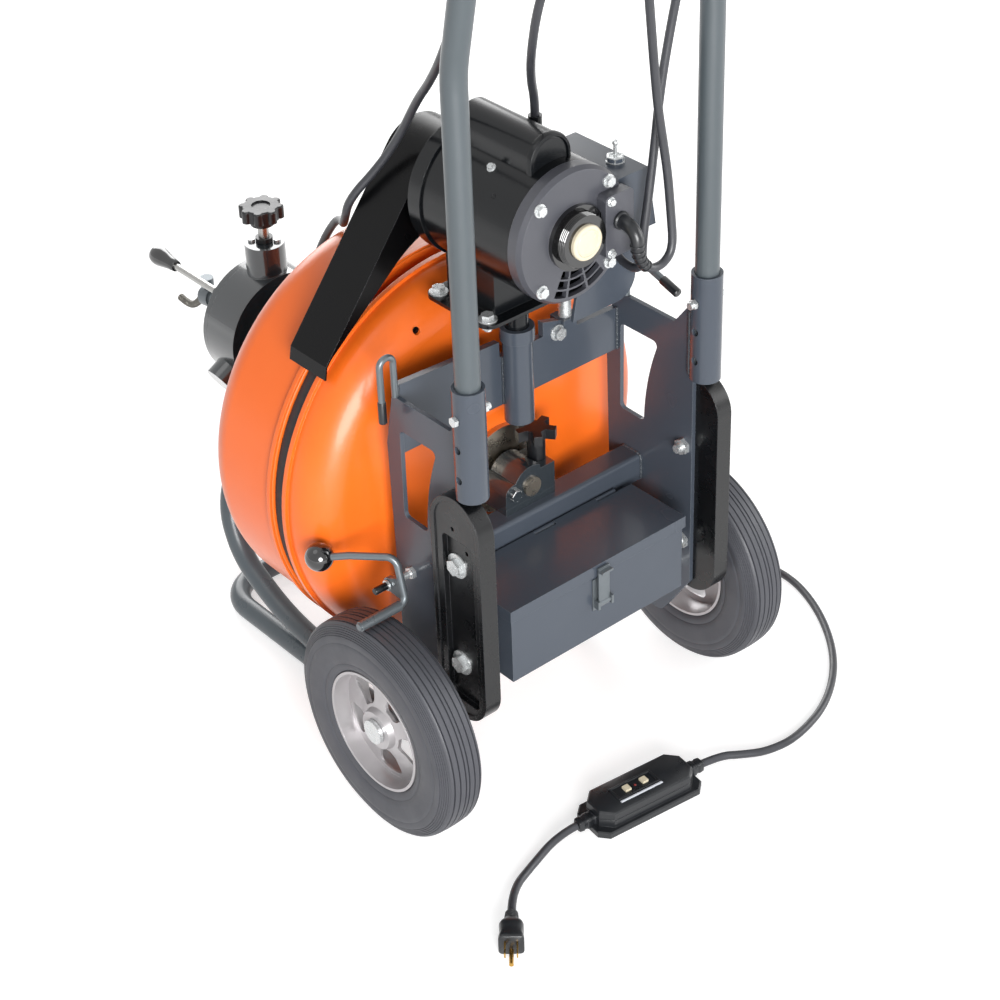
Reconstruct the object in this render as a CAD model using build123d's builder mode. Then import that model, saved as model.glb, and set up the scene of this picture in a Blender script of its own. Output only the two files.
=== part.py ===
import os
from math import acos, cos, pi, radians, sin, tan
from build123d import *

os.makedirs("parts", exist_ok=True)

# Driving dimensions in millimetres; every y is counted forward from the axle
wheel_d = 254.0
tyre_w = 56.0
track = 222.0
rim_r = 70.2
axle_r = 9.53
running = 0.05
plate_inset = 72.5
plate_t = 5.0
tube_d = 25.4
tube_wall = 2.0
sleeve_y = -78.0
sleeve_od = 33.4
sleeve_id = 26.6
sleeve_z0 = 427.7
sleeve_z1 = 553.0
hole_rows = (453.0, 488.0, 522.0)
hole_r = 4.4
handle_foot = 440.0
handle_bend_z = 876.0
handle_lean = 12.5
handle_upper = 300.0
skid_front = 443.0
drum_z = 315.2
drum_r = 233.0
drum_wall = 3.0
belt_y = 155.7
belt_w = 16.0
belt_depth = 11.0
pulley_pitch_r = 25.4
pitch_drop = 4.5
shaft_r = 11.1
motor_r = 71.5
motor_shaft_r = 7.94
neck_r = 30.0
ring_back = 423.0
ring_front = 435.0
feed_back = 460.0
feed_front = 512.0
feed_r = 76.0
cable_d = 9.5
tip_reach = 178.0
nose_drop = 9.5
cord_d = 9.0

# Sizes that follow from them
wheel_r = wheel_d / 2
axle_z = wheel_r
half_tyre = tyre_w / 2
cable_tip = feed_front + tip_reach
plate_in = track - plate_inset
plate_out = plate_in + plate_t
sleeve_x = plate_out + 4.8
skid_x = plate_in - tube_d / 2 - 0.1
flange_r = drum_r + 4
belt_r = drum_r - 1.5
belt_seat_r = belt_r - belt_depth - 0.5
belt_half = belt_w / 2 + 0.7
tube_top = drum_z - 23.2
motor_z = drum_z + drum_r + 96.8
base_z = motor_z - 102
brake_bar_r = 5.5
brake_z = wheel_d + brake_bar_r + 1
brake_x = plate_out + 29.5
pivot_y = 34.0
pivot_z = brake_z + 11.5

# The origin sits midway between the handle bar at the back and the cable tip at the front
lean_run = handle_upper * sin(radians(handle_lean))
lean_rise = handle_upper * cos(radians(handle_lean))
bar_y = sleeve_y - lean_run
bar_z = handle_bend_z + lean_rise
axle_y = -(cable_tip + bar_y - tube_d / 2) / 2

wheel_axis = Axis((0, axle_y, axle_z), (1, 0, 0))
drum_axis = Axis((0, axle_y, drum_z), (0, 1, 0))
motor_axis = Axis((0, axle_y, motor_z), (0, 1, 0))
wheel_plane = Plane(origin=(0, axle_y, axle_z), x_dir=(1, 0, 0), z_dir=(0, -1, 0))
drum_plane = Plane(origin=(0, axle_y, drum_z), x_dir=(0, 1, 0), z_dir=(1, 0, 0))
motor_plane = Plane(origin=(0, axle_y, motor_z), x_dir=(0, 1, 0), z_dir=(1, 0, 0))


def side_plane(x):
    return Plane(origin=(x, axle_y, 0), x_dir=(0, 1, 0), z_dir=(1, 0, 0))


def back_plane(y):
    return Plane(origin=(0, axle_y + y, 0), x_dir=(1, 0, 0), z_dir=(0, -1, 0))


def spot(x, y, z):
    return (x, axle_y + y, z)


# A rod along x, y or z added to or cut from the open part
def rod_x(x0, x1, y, z, r, mode=Mode.ADD):
    with Locations(spot((x0 + x1) / 2, y, z)):
        Cylinder(r, abs(x1 - x0), rotation=(0, 90, 0), mode=mode)


def rod_y(x, y0, y1, z, r, mode=Mode.ADD):
    with Locations(spot(x, (y0 + y1) / 2, z)):
        Cylinder(r, abs(y1 - y0), rotation=(90, 0, 0), mode=mode)


def rod_z(x, y, z0, z1, r, mode=Mode.ADD):
    with Locations(spot(x, y, (z0 + z1) / 2)):
        Cylinder(r, abs(z1 - z0), mode=mode)


# A box between two corners added to or cut from the open part
def block(x0, x1, y0, y1, z0, z1, mode=Mode.ADD):
    with Locations(spot((x0 + x1) / 2, (y0 + y1) / 2, (z0 + z1) / 2)):
        Box(abs(x1 - x0), abs(y1 - y0), abs(z1 - z0), mode=mode)


# A round tube or bar swept along straight runs joined by tangent arcs
def bent(points, radii, outer, wall=0):
    with BuildPart() as tube:
        with BuildLine() as path:
            FilletPolyline(*[spot(*p) for p in points], radius=radii)
        with BuildSketch(path.line ^ 0):
            Circle(outer / 2)
            if wall > 0:
                Circle(outer / 2 - wall, mode=Mode.SUBTRACT)
        sweep()
    return tube.part


# Bend radii that use most of the shorter run at every corner of a cord
def cord_radii(points):
    found = []
    for k in range(1, len(points) - 1):
        a = Vector(*points[k]) - Vector(*points[k - 1])
        b = Vector(*points[k + 1]) - Vector(*points[k])
        half = radians(max(a.get_angle(b), 0.5)) / 2
        before = (0.8 if k == 1 else 0.45) * a.length
        after = (0.8 if k == len(points) - 2 else 0.45) * b.length
        found.append(min(before, after) / tan(half))
    return found


def cord(points, outer, name):
    radii = cord_radii(points)
    tube = bent(points, radii, outer)
    length = tube.volume / (pi * outer * outer / 4)
    print(name, "length", round(length), "least bend", round(min(radii), 1))
    return tube


# A ring sector with rounded corners, angles in degrees from the sketch's own x
def sector(inner, outer, start, end, corner):
    middle = (start + end) / 2
    stops = ((inner, start), (outer, start), (outer, middle), (outer, end), (inner, end), (inner, middle))
    p = [(r * cos(radians(a)), r * sin(radians(a))) for r, a in stops]
    with BuildSketch() as face:
        with BuildLine():
            Line(p[0], p[1])
            ThreePointArc(p[1], p[2], p[3])
            Line(p[3], p[4])
            ThreePointArc(p[4], p[5], p[0])
        make_face()
        fillet(face.vertices(), corner)
    return face.sketch


# A hex bolt: head and washer stand on the base point, the shank runs the other way
def hex_bolt(base, outward, head_r, head_h, shank_r, shank_len, washer_r=0.0, nut_at=0.0):
    washer_t = 1.6 if washer_r > 0 else 0.0
    out = Vector(*outward)
    foot = Vector(*spot(*base))
    with BuildPart() as bolt:
        if washer_r > 0:
            with BuildSketch(Plane(origin=foot, z_dir=out)):
                Circle(washer_r)
            extrude(amount=washer_t)
        with BuildSketch(Plane(origin=foot, z_dir=out)):
            RegularPolygon(head_r, 6)
        extrude(amount=head_h + washer_t)
        with BuildSketch(Plane(origin=foot, z_dir=out * -1)):
            Circle(shank_r)
        extrude(amount=shank_len)
        if nut_at > 0:
            with BuildSketch(Plane(origin=foot - out * nut_at, z_dir=out * -1)):
                RegularPolygon(head_r, 6)
            extrude(amount=head_h)
    return bolt.part


# Side plates with the welded handle sleeves
glide_rows = (212.0, 336.0)
glide_bolt_y = -58.0
glide_hole_r = 5.3
plate_edge = [
    (-70, 160), (-26, 96), (26, 96), (58, 170), (63, 420), (50, 483), (-41, 483), (-62, 510),
    (-70, 510),
]
window_edge = [(41.5, 339), (40.5, 446), (-18, 446), (-1, 388), (4, 338)]

with BuildPart() as side_plate_right:
    with BuildSketch(side_plane(plate_in)) as plate_face:
        with BuildLine():
            Polyline(*plate_edge, close=True)
        make_face()
        fillet(plate_face.vertices().sort_by(Axis.Y)[:2], 14)
    with BuildSketch(side_plane(plate_in)) as window_face:
        with BuildLine():
            Line(window_edge[4], window_edge[0])
            Line(window_edge[0], window_edge[1])
            Line(window_edge[1], window_edge[2])
            ThreePointArc(window_edge[2], window_edge[3], window_edge[4])
        make_face()
        fillet(window_face.vertices(), 6)
    extrude(plate_face.sketch, amount=plate_t)
    extrude(window_face.sketch, amount=plate_t, mode=Mode.SUBTRACT)
    rod_z(sleeve_x, sleeve_y, sleeve_z0, sleeve_z1, sleeve_od / 2)
    rod_z(sleeve_x, sleeve_y, sleeve_z0 - 1, sleeve_z1 + 1, sleeve_id / 2, Mode.SUBTRACT)
    for hole_z in hole_rows:
        rod_x(sleeve_x - 20, sleeve_x + 20, sleeve_y, hole_z, hole_r, Mode.SUBTRACT)
    rod_x(plate_in - 1, plate_out + 1, 0, axle_z, axle_r + running, Mode.SUBTRACT)
    for bolt_z in glide_rows:
        rod_x(plate_in - 1, plate_out + 1, glide_bolt_y, bolt_z, glide_hole_r, Mode.SUBTRACT)
side_plate_right.part.label = "side_plate_right"
export_step(side_plate_right.part, "parts/side_plate_right.step")

# The left plate also carries the brake pivot hole
pivot_r = 4.0
with BuildPart() as side_plate_left:
    mirror(side_plate_right.part, about=Plane.YZ)
    rod_x(-plate_in + 1, -plate_out - 1, pivot_y, pivot_z, pivot_r + 0.1, Mode.SUBTRACT)
side_plate_left.part.label = "side_plate_left"
export_step(side_plate_left.part, "parts/side_plate_left.step")

# Upper cross bar: a stepped plate with the motor post and a ledge for the belt screw
bar_back = 46.0
bar_front = 54.0
post_y = 36.0
post_r = 16.0
post_bore = 13.0
post_z0 = 394.0
post_z1 = 507.0
ledge_z = 481.0
tab_bolt_x = 63.0
tab_bolt_z = 468.0
bar_edge = [
    (-plate_in, 412), (plate_in, 412), (plate_in, 463), (92, 465), (90, 474), (44, 487), (44, 470),
    (-16, 470), (-16, 488), (-plate_in, 494),
]
with BuildPart() as upper_cross_bar:
    with BuildSketch(back_plane(bar_back)):
        with BuildLine():
            Polyline(*bar_edge, close=True)
        make_face()
    extrude(amount=bar_back - bar_front)
    rod_z(0, post_y, post_z0, post_z1, post_r)
    rod_z(0, post_y, post_z1 - 15, post_z1, post_r + 2.5)
    block(68, 92, bar_back - 6, bar_front + 8, ledge_z - 5, ledge_z)
    rod_z(0, post_y, post_z0 - 1, post_z1 + 1, post_bore, Mode.SUBTRACT)
    rod_y(tab_bolt_x, bar_back - 1, bar_front + 1, tab_bolt_z, 5.1, Mode.SUBTRACT)
upper_cross_bar.part.label = "upper_cross_bar"
export_step(upper_cross_bar.part, "parts/upper_cross_bar.step")

tube_back = 8.0
tube_size = 32.0
tube_skin = 2.5
with BuildPart() as lower_cross_tube:
    block(-plate_in, plate_in, tube_back, tube_back + tube_size, tube_top - tube_size, tube_top)
    fillet(lower_cross_tube.edges().filter_by(Axis.X).sort_by(Axis.Z)[-2:], 5)
    block(-plate_in - 1, plate_in + 1, tube_back + tube_skin, tube_back + tube_size - tube_skin,
          tube_top - tube_size + tube_skin, tube_top - tube_skin, Mode.SUBTRACT)
lower_cross_tube.part.label = "lower_cross_tube"
export_step(lower_cross_tube.part, "parts/lower_cross_tube.step")

# Floor skid: one bent tube from plate to plate
skid_path = [
    (-skid_x, 18, 215), (-skid_x, 92, tube_d / 2), (-skid_x, skid_front, tube_d / 2),
    (skid_x, skid_front, tube_d / 2), (skid_x, 92, tube_d / 2), (skid_x, 18, 215),
]
with BuildPart() as skid_tube:
    add(bent(skid_path, [60, 50, 50, 60], tube_d, tube_wall))
skid_tube.part.label = "skid_tube"
export_step(skid_tube.part, "parts/skid_tube.step")

# Front yoke: two arms that rise from the skid to the ring which carries the drum neck
ring_r = 70.0
arm_path = [
    (-skid_x, 232, tube_d * 1.5 + 0.1), (-skid_x, 318, 52), (-skid_x, 392, 92),
    (-skid_x + 4.7, 420, 146), (-104, 429, 200), (-46, 429, drum_z - 37.2),
]
arm = bent(arm_path, cord_radii(arm_path), tube_d)
with BuildPart() as feed_yoke:
    add(arm)
    mirror(arm, about=Plane.YZ)
    rod_y(0, ring_back, ring_front, drum_z, ring_r)
    rod_y(0, ring_back - 20, ring_front + 20, drum_z, neck_r + running, Mode.SUBTRACT)
feed_yoke.part.label = "feed_yoke"
export_step(feed_yoke.part, "parts/feed_yoke.step")

# Axle with inner collars and end caps that keep the wheels on
hub_in = track - 30
hub_out = track + 20
end_play = 0.5
with BuildPart() as axle:
    rod_x(-hub_out - 2, hub_out + 2, 0, axle_z, axle_r)
    for side in (-1, 1):
        rod_x(side * (hub_in - 6), side * (hub_in - end_play), 0, axle_z, 15)
        rod_x(side * (hub_out + end_play), side * (hub_out + 5), 0, axle_z, 14)
axle.part.label = "axle"
export_step(axle.part, "parts/axle.step")

# Wheels: pressed hub with five windows and a solid tyre with tread grooves
hub_profile = [
    (hub_in, axle_r + running), (hub_out, axle_r + running), (hub_out, 22), (track + 13, 24.5),
    (track + 8, 40), (track + 5, rim_r - 4.2), (track + 24, rim_r - 3.2), (track + 24, rim_r),
    (track - 23, rim_r), (track - 23, rim_r - 3.2), (track + 2, rim_r - 4.2), (track + 5, 40),
    (track + 9, 20), (hub_in, 20),
]
window_count = 5
window_first = 50.0
window_half = 19.0
with BuildPart() as wheel_hub_right:
    with BuildSketch(wheel_plane):
        with BuildLine():
            Polyline(*hub_profile, close=True)
        make_face()
    revolve(axis=wheel_axis)
    with BuildSketch(Plane(origin=spot(track, 0, axle_z), x_dir=(0, 1, 0), z_dir=(1, 0, 0))):
        for k in range(window_count):
            turn = window_first + k * 360 / window_count
            add(sector(28, rim_r - 10.2, turn - window_half, turn + window_half, 6))
    extrude(amount=25, mode=Mode.SUBTRACT)
wheel_hub_right.part.label = "wheel_hub_right"
export_step(wheel_hub_right.part, "parts/wheel_hub_right.step")

half_tread = [
    (0, rim_r + 0.1), (half_tyre - 5.5, rim_r + 0.1), (half_tyre - 2.5, rim_r + 5.8),
    (half_tyre, wheel_r - 35), (half_tyre, wheel_r - 19), (half_tyre - 2, wheel_r - 10),
    (half_tyre - 7, wheel_r - 3), (half_tyre - 11, wheel_r - 1), (half_tyre - 11, wheel_r - 4.5),
    (half_tyre - 14, wheel_r - 4.5), (half_tyre - 14, wheel_r - 0.4), (6, wheel_r), (6, wheel_r - 4),
    (3, wheel_r - 4), (3, wheel_r), (0, wheel_r),
]
tyre_profile = [(track + u, r) for u, r in half_tread]
tyre_profile += [(track - u, r) for u, r in reversed(half_tread[1:-1])]
with BuildPart() as tyre_right:
    with BuildSketch(wheel_plane):
        with BuildLine():
            Polyline(*tyre_profile, close=True)
        make_face()
    revolve(axis=wheel_axis)
tyre_right.part.label = "tyre_right"
export_step(tyre_right.part, "parts/tyre_right.step")

with BuildPart() as wheel_hub_left:
    mirror(wheel_hub_right.part, about=Plane.YZ)
wheel_hub_left.part.label = "wheel_hub_left"
export_step(wheel_hub_left.part, "parts/wheel_hub_left.step")

with BuildPart() as tyre_left:
    mirror(tyre_right.part, about=Plane.YZ)
tyre_left.part.label = "tyre_left"
export_step(tyre_left.part, "parts/tyre_left.step")

# Push handle: one bent tube standing in the sleeves
handle_path = [
    (-sleeve_x, sleeve_y, handle_foot), (-sleeve_x, sleeve_y, handle_bend_z), (-sleeve_x, bar_y, bar_z),
    (sleeve_x, bar_y, bar_z), (sleeve_x, sleeve_y, handle_bend_z), (sleeve_x, sleeve_y, handle_foot),
]
with BuildPart() as handle:
    add(bent(handle_path, [150, 75, 75, 150], tube_d, tube_wall))
    for side in (-1, 1):
        for hole_z in hole_rows:
            rod_x(side * (sleeve_x - 20), side * (sleeve_x + 20), sleeve_y, hole_z, hole_r, Mode.SUBTRACT)
handle.part.label = "handle"
export_step(handle.part, "parts/handle.step")

# Stair glides: long plastic runners with a raised rim and a deep bolt pocket
glide_y = -65.0
glide_z = 286.0
glide_len = 276.0
glide_w = 76.0
glide_t = 20.0
pocket_x = plate_out + 12
with BuildPart() as stair_glide_right:
    with BuildSketch(side_plane(plate_out)):
        with Locations((glide_y, glide_z)):
            SlotOverall(glide_len, glide_w, rotation=90)
    extrude(amount=glide_t)
    with BuildSketch(side_plane(plate_out + glide_t - 1.5)):
        with Locations((glide_y, glide_z)):
            SlotOverall(glide_len - 12, glide_w - 12, rotation=90)
    extrude(amount=3, mode=Mode.SUBTRACT)
    with BuildSketch(side_plane(pocket_x)):
        with Locations((glide_y - 1.5, glide_z - 15)):
            RectangleRounded(47, 206, 7)
    extrude(amount=glide_t, mode=Mode.SUBTRACT)
    for bolt_z in glide_rows:
        rod_x(plate_out - 1, pocket_x + 1, glide_bolt_y, bolt_z, glide_hole_r, Mode.SUBTRACT)
    for y, z in ((-60, 385), (-73, 358)):
        rod_x(plate_out + 6, plate_out + glide_t + 1, y, z, 2.5, Mode.SUBTRACT)
stair_glide_right.part.label = "stair_glide_right"
export_step(stair_glide_right.part, "parts/stair_glide_right.step")

with BuildPart() as stair_glide_left:
    mirror(stair_glide_right.part, about=Plane.YZ)
stair_glide_left.part.label = "stair_glide_left"
export_step(stair_glide_left.part, "parts/stair_glide_left.step")

# Toolbox: folded open box with hinge barrels on its front top edge
box_x = 122.0
box_back = -85.0
box_front = tube_back
box_z1 = tube_top - 30
box_z0 = box_z1 - 85.5
box_skin = 2.0
hinge_y = box_front - 5
hinge_z = box_z1 + 4
hinge_pin_r = 2.0
lid_z = box_z1 + 6
with BuildPart() as toolbox_body:
    block(-box_x, box_x, box_back, box_front, box_z0, box_z1)
    block(-box_x + box_skin, box_x - box_skin, box_back + box_skin, box_front - box_skin,
          box_z0 + box_skin, box_z1 + 1, Mode.SUBTRACT)
    for x in (-90, 0, 90):
        block(x - 14, x + 14, box_front - 4, box_front, box_z1 - 12, hinge_z)
        rod_x(x - 14, x + 14, hinge_y, hinge_z, 4)
    rod_x(-103, 103, hinge_y, hinge_z, hinge_pin_r)
toolbox_body.part.label = "toolbox_body"
export_step(toolbox_body.part, "parts/toolbox_body.step")

with BuildPart() as toolbox_lid:
    block(-box_x - 2.5, box_x + 2.5, box_back - 2.5, -2.5, lid_z - 12, lid_z + box_skin)
    block(-box_x - 0.5, box_x + 0.5, box_back - 0.5, -2, lid_z - 13, lid_z, Mode.SUBTRACT)
    for x in (-45, 45):
        block(x - 30, x + 30, -4, hinge_y, lid_z, lid_z + box_skin)
        rod_x(x - 30, x + 30, hinge_y, hinge_z, 4)
        rod_x(x - 31, x + 31, hinge_y, hinge_z, hinge_pin_r + running, Mode.SUBTRACT)
toolbox_lid.part.label = "toolbox_lid"
export_step(toolbox_lid.part, "parts/toolbox_lid.step")

# Draw latch: keeper lugs sit on the box, the lever turns on their pin
latch_x = 2.0
latch_y = box_back - 5.0
latch_z = box_z1 - 41
latch_half = 7.6
latch_pin_r = 1.8
with BuildPart() as latch_base:
    block(latch_x - 12, latch_x + 12, box_back - 1.5, box_back, latch_z - 9, latch_z + 31)
    for x in (latch_x - 11, latch_x + 8):
        block(x, x + 3, latch_y - 4, box_back - 1.5, latch_z - 5, latch_z + 5)
    rod_x(latch_x - 9, latch_x + 9, latch_y, latch_z, latch_pin_r)
latch_base.part.label = "latch_base"
export_step(latch_base.part, "parts/latch_base.step")

with BuildPart() as lid_latch:
    rod_x(latch_x - latch_half, latch_x + latch_half, latch_y, latch_z, 3.3)
    block(latch_x - latch_half, latch_x + latch_half, latch_y - 1.2, latch_y + 1.2, latch_z, box_z1 + 5)
    block(latch_x - latch_half, latch_x + latch_half, latch_y - 7, latch_y, box_z1, box_z1 + 2.4)
    rod_x(latch_x - 9, latch_x + 9, latch_y, latch_z, latch_pin_r + running, Mode.SUBTRACT)
lid_latch.part.label = "lid_latch"
export_step(lid_latch.part, "parts/lid_latch.step")

# Drum bearing block on the lower cross tube and its star knob
seat_back = 20.0
seat_front = 60.0
ear_z = tube_top + 40
pinch_x = -24.0
knob_x = 25.0
knob_y = 40.0
clamp_r = 5.0
with BuildPart() as bearing_block:
    block(-36, 33, seat_back, seat_front, tube_top, tube_top + 20)
    rod_y(0, seat_back, seat_front, drum_z, 25)
    rod_y(pinch_x, seat_back, seat_front, drum_z, 12)
    block(-36, -12, seat_back, seat_front, tube_top + 8, drum_z)
    block(12, 33, seat_back, seat_front, tube_top + 8, ear_z)
    block(-40, 40, seat_back - 1, seat_front + 1, tube_top - 12, tube_top, Mode.SUBTRACT)
    block(13, 40, seat_back - 1, seat_front + 1, ear_z, ear_z + 13, Mode.SUBTRACT)
    rod_y(0, seat_back - 1, seat_front + 1, drum_z, shaft_r + running, Mode.SUBTRACT)
    rod_z(knob_x, knob_y, ear_z - 17, ear_z + 1, clamp_r + running, Mode.SUBTRACT)
    rod_y(pinch_x, seat_back - 1, knob_y, drum_z, 4.1, Mode.SUBTRACT)
bearing_block.part.label = "bearing_block"
export_step(bearing_block.part, "parts/bearing_block.step")

star_z = ear_z + 26
with BuildPart() as star_knob:
    rod_z(knob_x, knob_y, ear_z - 16, star_z, clamp_r)
    rod_z(knob_x, knob_y, ear_z + 0.4, star_z, 10)
    with BuildSketch(Plane(origin=spot(knob_x, knob_y, star_z))):
        Circle(12)
        with PolarLocations(13, 5, start_angle=20):
            Rectangle(18, 9)
    extrude(amount=12)
star_knob.part.label = "star_knob"
export_step(star_knob.part, "parts/star_knob.step")

# Cord hooks: bent rods welded on the plate tops
hook_left = -plate_in - 3.8
hook_right = plate_in + 2.5
hook_drop = [
    (hook_left, 46, 483), (hook_left, 46, 531), (hook_left - 17, 46, 531), (hook_left - 17, 46, 459),
]
hook_reach = [(hook_right, 34, 483), (hook_right, 34, 540), (hook_right, -44, 516)]
with BuildPart() as cord_hooks:
    add(bent(hook_drop, 8.4, 7))
    add(bent(hook_reach, 14, 8))
cord_hooks.part.label = "cord_hooks"
export_step(cord_hooks.part, "parts/cord_hooks.step")

# Drum: two pressed shells, shaft flange and the cable coiled inside
drum_back = 73.0
dish_r = 70.0
rear_shoulder = 96.5
rear_lip = 139.0
split_y = 166.0
front_lip = 172.0
front_shoulder = 286.0
cone_y = 318.0
cone_r = 82.0
neck_root = 334.0
neck_front = 440.0
rear_round = 45.0
front_round = 42.0
groove_back = belt_y - belt_half
groove_front = belt_y + belt_half
pin_hole_r = drum_r - 23
pin_hole_turn = radians(113.3)
rear_outer = [
    (drum_back, 0), (drum_back, dish_r), (rear_shoulder, drum_r), (rear_lip, drum_r), (rear_lip, flange_r),
    (groove_back - 2, flange_r), (groove_back, belt_seat_r), (groove_front, belt_seat_r),
    (split_y, flange_r - 2), (split_y, 0),
]
rear_inner = [
    (drum_back + 3, 0), (drum_back + 3, dish_r - 0.5), (rear_shoulder - 2.5, drum_r - 38),
    (rear_lip + 2, drum_r - 9), (rear_lip + 3, drum_r + 1), (rear_lip + 5, drum_r + 1),
    (rear_lip + 6, drum_r - 16), (split_y + 4, drum_r - 16), (split_y + 4, 0),
]
with BuildPart() as drum_rear:
    with BuildSketch(drum_plane):
        with BuildLine():
            Polyline(*rear_outer, close=True)
        make_face()
    revolve(axis=drum_axis)
    circles = drum_rear.edges().filter_by(GeomType.CIRCLE)
    rims = circles.filter_by(lambda e: abs(e.arc_center.Y - axle_y - rear_shoulder) < 0.1)
    fillet(rims.sort_by(SortBy.RADIUS)[-1], rear_round)
    with BuildSketch(drum_plane):
        with BuildLine():
            Polyline(*rear_inner, close=True)
        make_face()
    revolve(axis=drum_axis, mode=Mode.SUBTRACT)
    rod_y(0, drum_back - 1, drum_back + 7, drum_z, shaft_r + 0.1, Mode.SUBTRACT)
    rod_y(pin_hole_r * cos(pin_hole_turn), drum_back, rear_shoulder + 14,
          drum_z + pin_hole_r * sin(pin_hole_turn), 4, Mode.SUBTRACT)
drum_rear.part.label = "drum_rear"
export_step(drum_rear.part, "parts/drum_rear.step")

front_outer = [
    (split_y, 0), (split_y, flange_r), (front_lip, flange_r), (front_lip, drum_r), (front_shoulder, drum_r),
    (cone_y, cone_r), (neck_root, neck_r), (neck_front, neck_r), (neck_front, 0),
]
front_inner = [
    (split_y - 1, 0), (split_y - 1, drum_r - 16), (front_lip + 2, drum_r - 16),
    (front_lip + 2, drum_r - drum_wall), (front_shoulder - 38, drum_r - drum_wall),
    (front_shoulder - 10, drum_r - 28), (cone_y - 6, cone_r + 2), (neck_root - 3, neck_r - 4),
    (neck_front + 1, neck_r - 4), (neck_front + 1, 0),
]
with BuildPart() as drum_front:
    with BuildSketch(drum_plane):
        with BuildLine():
            Polyline(*front_outer, close=True)
        make_face()
    revolve(axis=drum_axis)
    circles = drum_front.edges().filter_by(GeomType.CIRCLE)
    rims = circles.filter_by(lambda e: abs(e.arc_center.Y - axle_y - front_shoulder) < 0.1)
    fillet(rims.sort_by(SortBy.RADIUS)[-1], front_round)
    with BuildSketch(drum_plane):
        with BuildLine():
            Polyline(*front_inner, close=True)
        make_face()
    revolve(axis=drum_axis, mode=Mode.SUBTRACT)
drum_front.part.label = "drum_front"
export_step(drum_front.part, "parts/drum_front.step")

with BuildPart() as drum_shaft:
    rod_y(0, seat_back - 3, drum_back + 17, drum_z, shaft_r)
    rod_y(0, drum_back - 7, drum_back, drum_z, 52)
drum_shaft.part.label = "drum_shaft"
export_step(drum_shaft.part, "parts/drum_shaft.step")

coil_back = front_lip + 8
coil_front = front_shoulder - 42
coil_out = drum_r - drum_wall - 0.4
coil_in = drum_r - 33
with BuildPart() as cable_coil:
    with BuildSketch(drum_plane):
        with BuildLine():
            Polyline((coil_back, coil_in), (coil_front, coil_in), (coil_front, coil_out), (coil_back, coil_out),
                     close=True)
        make_face()
    revolve(axis=drum_axis)
cable_coil.part.label = "cable_coil"
export_step(cable_coil.part, "parts/cable_coil.step")

# Motor base: plate on a stem, with a saddle under the shell
shell_back = -38.0
shell_front = 92.0
base_bolts = [(x, y) for x in (-58, 58) for y in (12, 88)]
with BuildPart() as motor_base:
    with BuildSketch(Plane(origin=spot(10, 49, base_z))):
        RectangleRounded(160, 102, 14)
    extrude(amount=4)
    rod_z(0, post_y, post_z0 + 46, base_z, post_bore - 0.4)
    block(-48, 48, 12, 86, base_z + 3, base_z + 57)
    rod_y(0, shell_back - 22, shell_front + 28, motor_z, motor_r + 0.05, Mode.SUBTRACT)
    for x, y in base_bolts:
        rod_z(x, y, base_z - 3, base_z + 7, 4.2, Mode.SUBTRACT)
motor_base.part.label = "motor_base"
export_step(motor_base.part, "parts/motor_base.step")

with BuildPart() as motor_shell:
    rod_y(0, shell_back, shell_front, motor_z, motor_r)
    rod_y(0, shell_back - 1, shell_front + 1, motor_z, motor_r - 2.5, Mode.SUBTRACT)
motor_shell.part.label = "motor_shell"
export_step(motor_shell.part, "parts/motor_shell.step")

bell_bore = motor_shaft_r + running
front_bell_profile = [
    (shell_front, motor_r + 2.5), (110, motor_r + 2.5), (118, 66), (118, 30), (125, 30), (125, bell_bore),
    (104, bell_bore), (104, 24), (112, 24), (112, 61), (105, motor_r - 3), (shell_front, motor_r - 3),
]
with BuildPart() as motor_front_bell:
    with BuildSketch(motor_plane):
        with BuildLine():
            Polyline(*front_bell_profile, close=True)
        make_face()
    revolve(axis=motor_axis)
motor_front_bell.part.label = "motor_front_bell"
export_step(motor_front_bell.part, "parts/motor_front_bell.step")

bell_face = -55.0
ring_top = 34.0
cap_r = 18.5
bell_bolt = 44.2
rear_bell_profile = [
    (shell_back, motor_r), (-50, motor_r), (bell_face, 68), (bell_face, ring_top), (-60, ring_top), (-60, 27),
    (-70, 27), (-70, cap_r + 0.1), (-62, cap_r + 0.1), (-62, bell_bore), (-42, bell_bore), (-42, 24),
    (-49, 24), (-49, 65), (-45, motor_r - 3), (shell_back, motor_r - 3),
]
vent_columns = ((244, 258.5), (261, 283), (285.5, 306))
vent_rows = ((36, 44.5), (46.5, 55), (57, 64.5))
with BuildPart() as motor_rear_bell:
    with BuildSketch(motor_plane):
        with BuildLine():
            Polyline(*rear_bell_profile, close=True)
        make_face()
    revolve(axis=motor_axis)
    with BuildSketch(Plane(origin=spot(0, bell_face - 1, motor_z), x_dir=(1, 0, 0), z_dir=(0, -1, 0))):
        for inner, outer in vent_rows:
            for start, end in vent_columns:
                add(sector(inner, outer, start, end, 1.2))
    extrude(amount=-10, mode=Mode.SUBTRACT)
    for x in (-bell_bolt, bell_bolt):
        for z in (-bell_bolt, bell_bolt):
            rod_y(x, bell_face - 5, bell_face + 10, motor_z + z, 3.1, Mode.SUBTRACT)
motor_rear_bell.part.label = "motor_rear_bell"
export_step(motor_rear_bell.part, "parts/motor_rear_bell.step")

with BuildPart() as motor_end_cap:
    rod_y(0, -75, -62, motor_z, cap_r)
    fillet(motor_end_cap.faces().sort_by(Axis.Y)[0].edges(), 3)
motor_end_cap.part.label = "motor_end_cap"
export_step(motor_end_cap.part, "parts/motor_end_cap.step")

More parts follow.
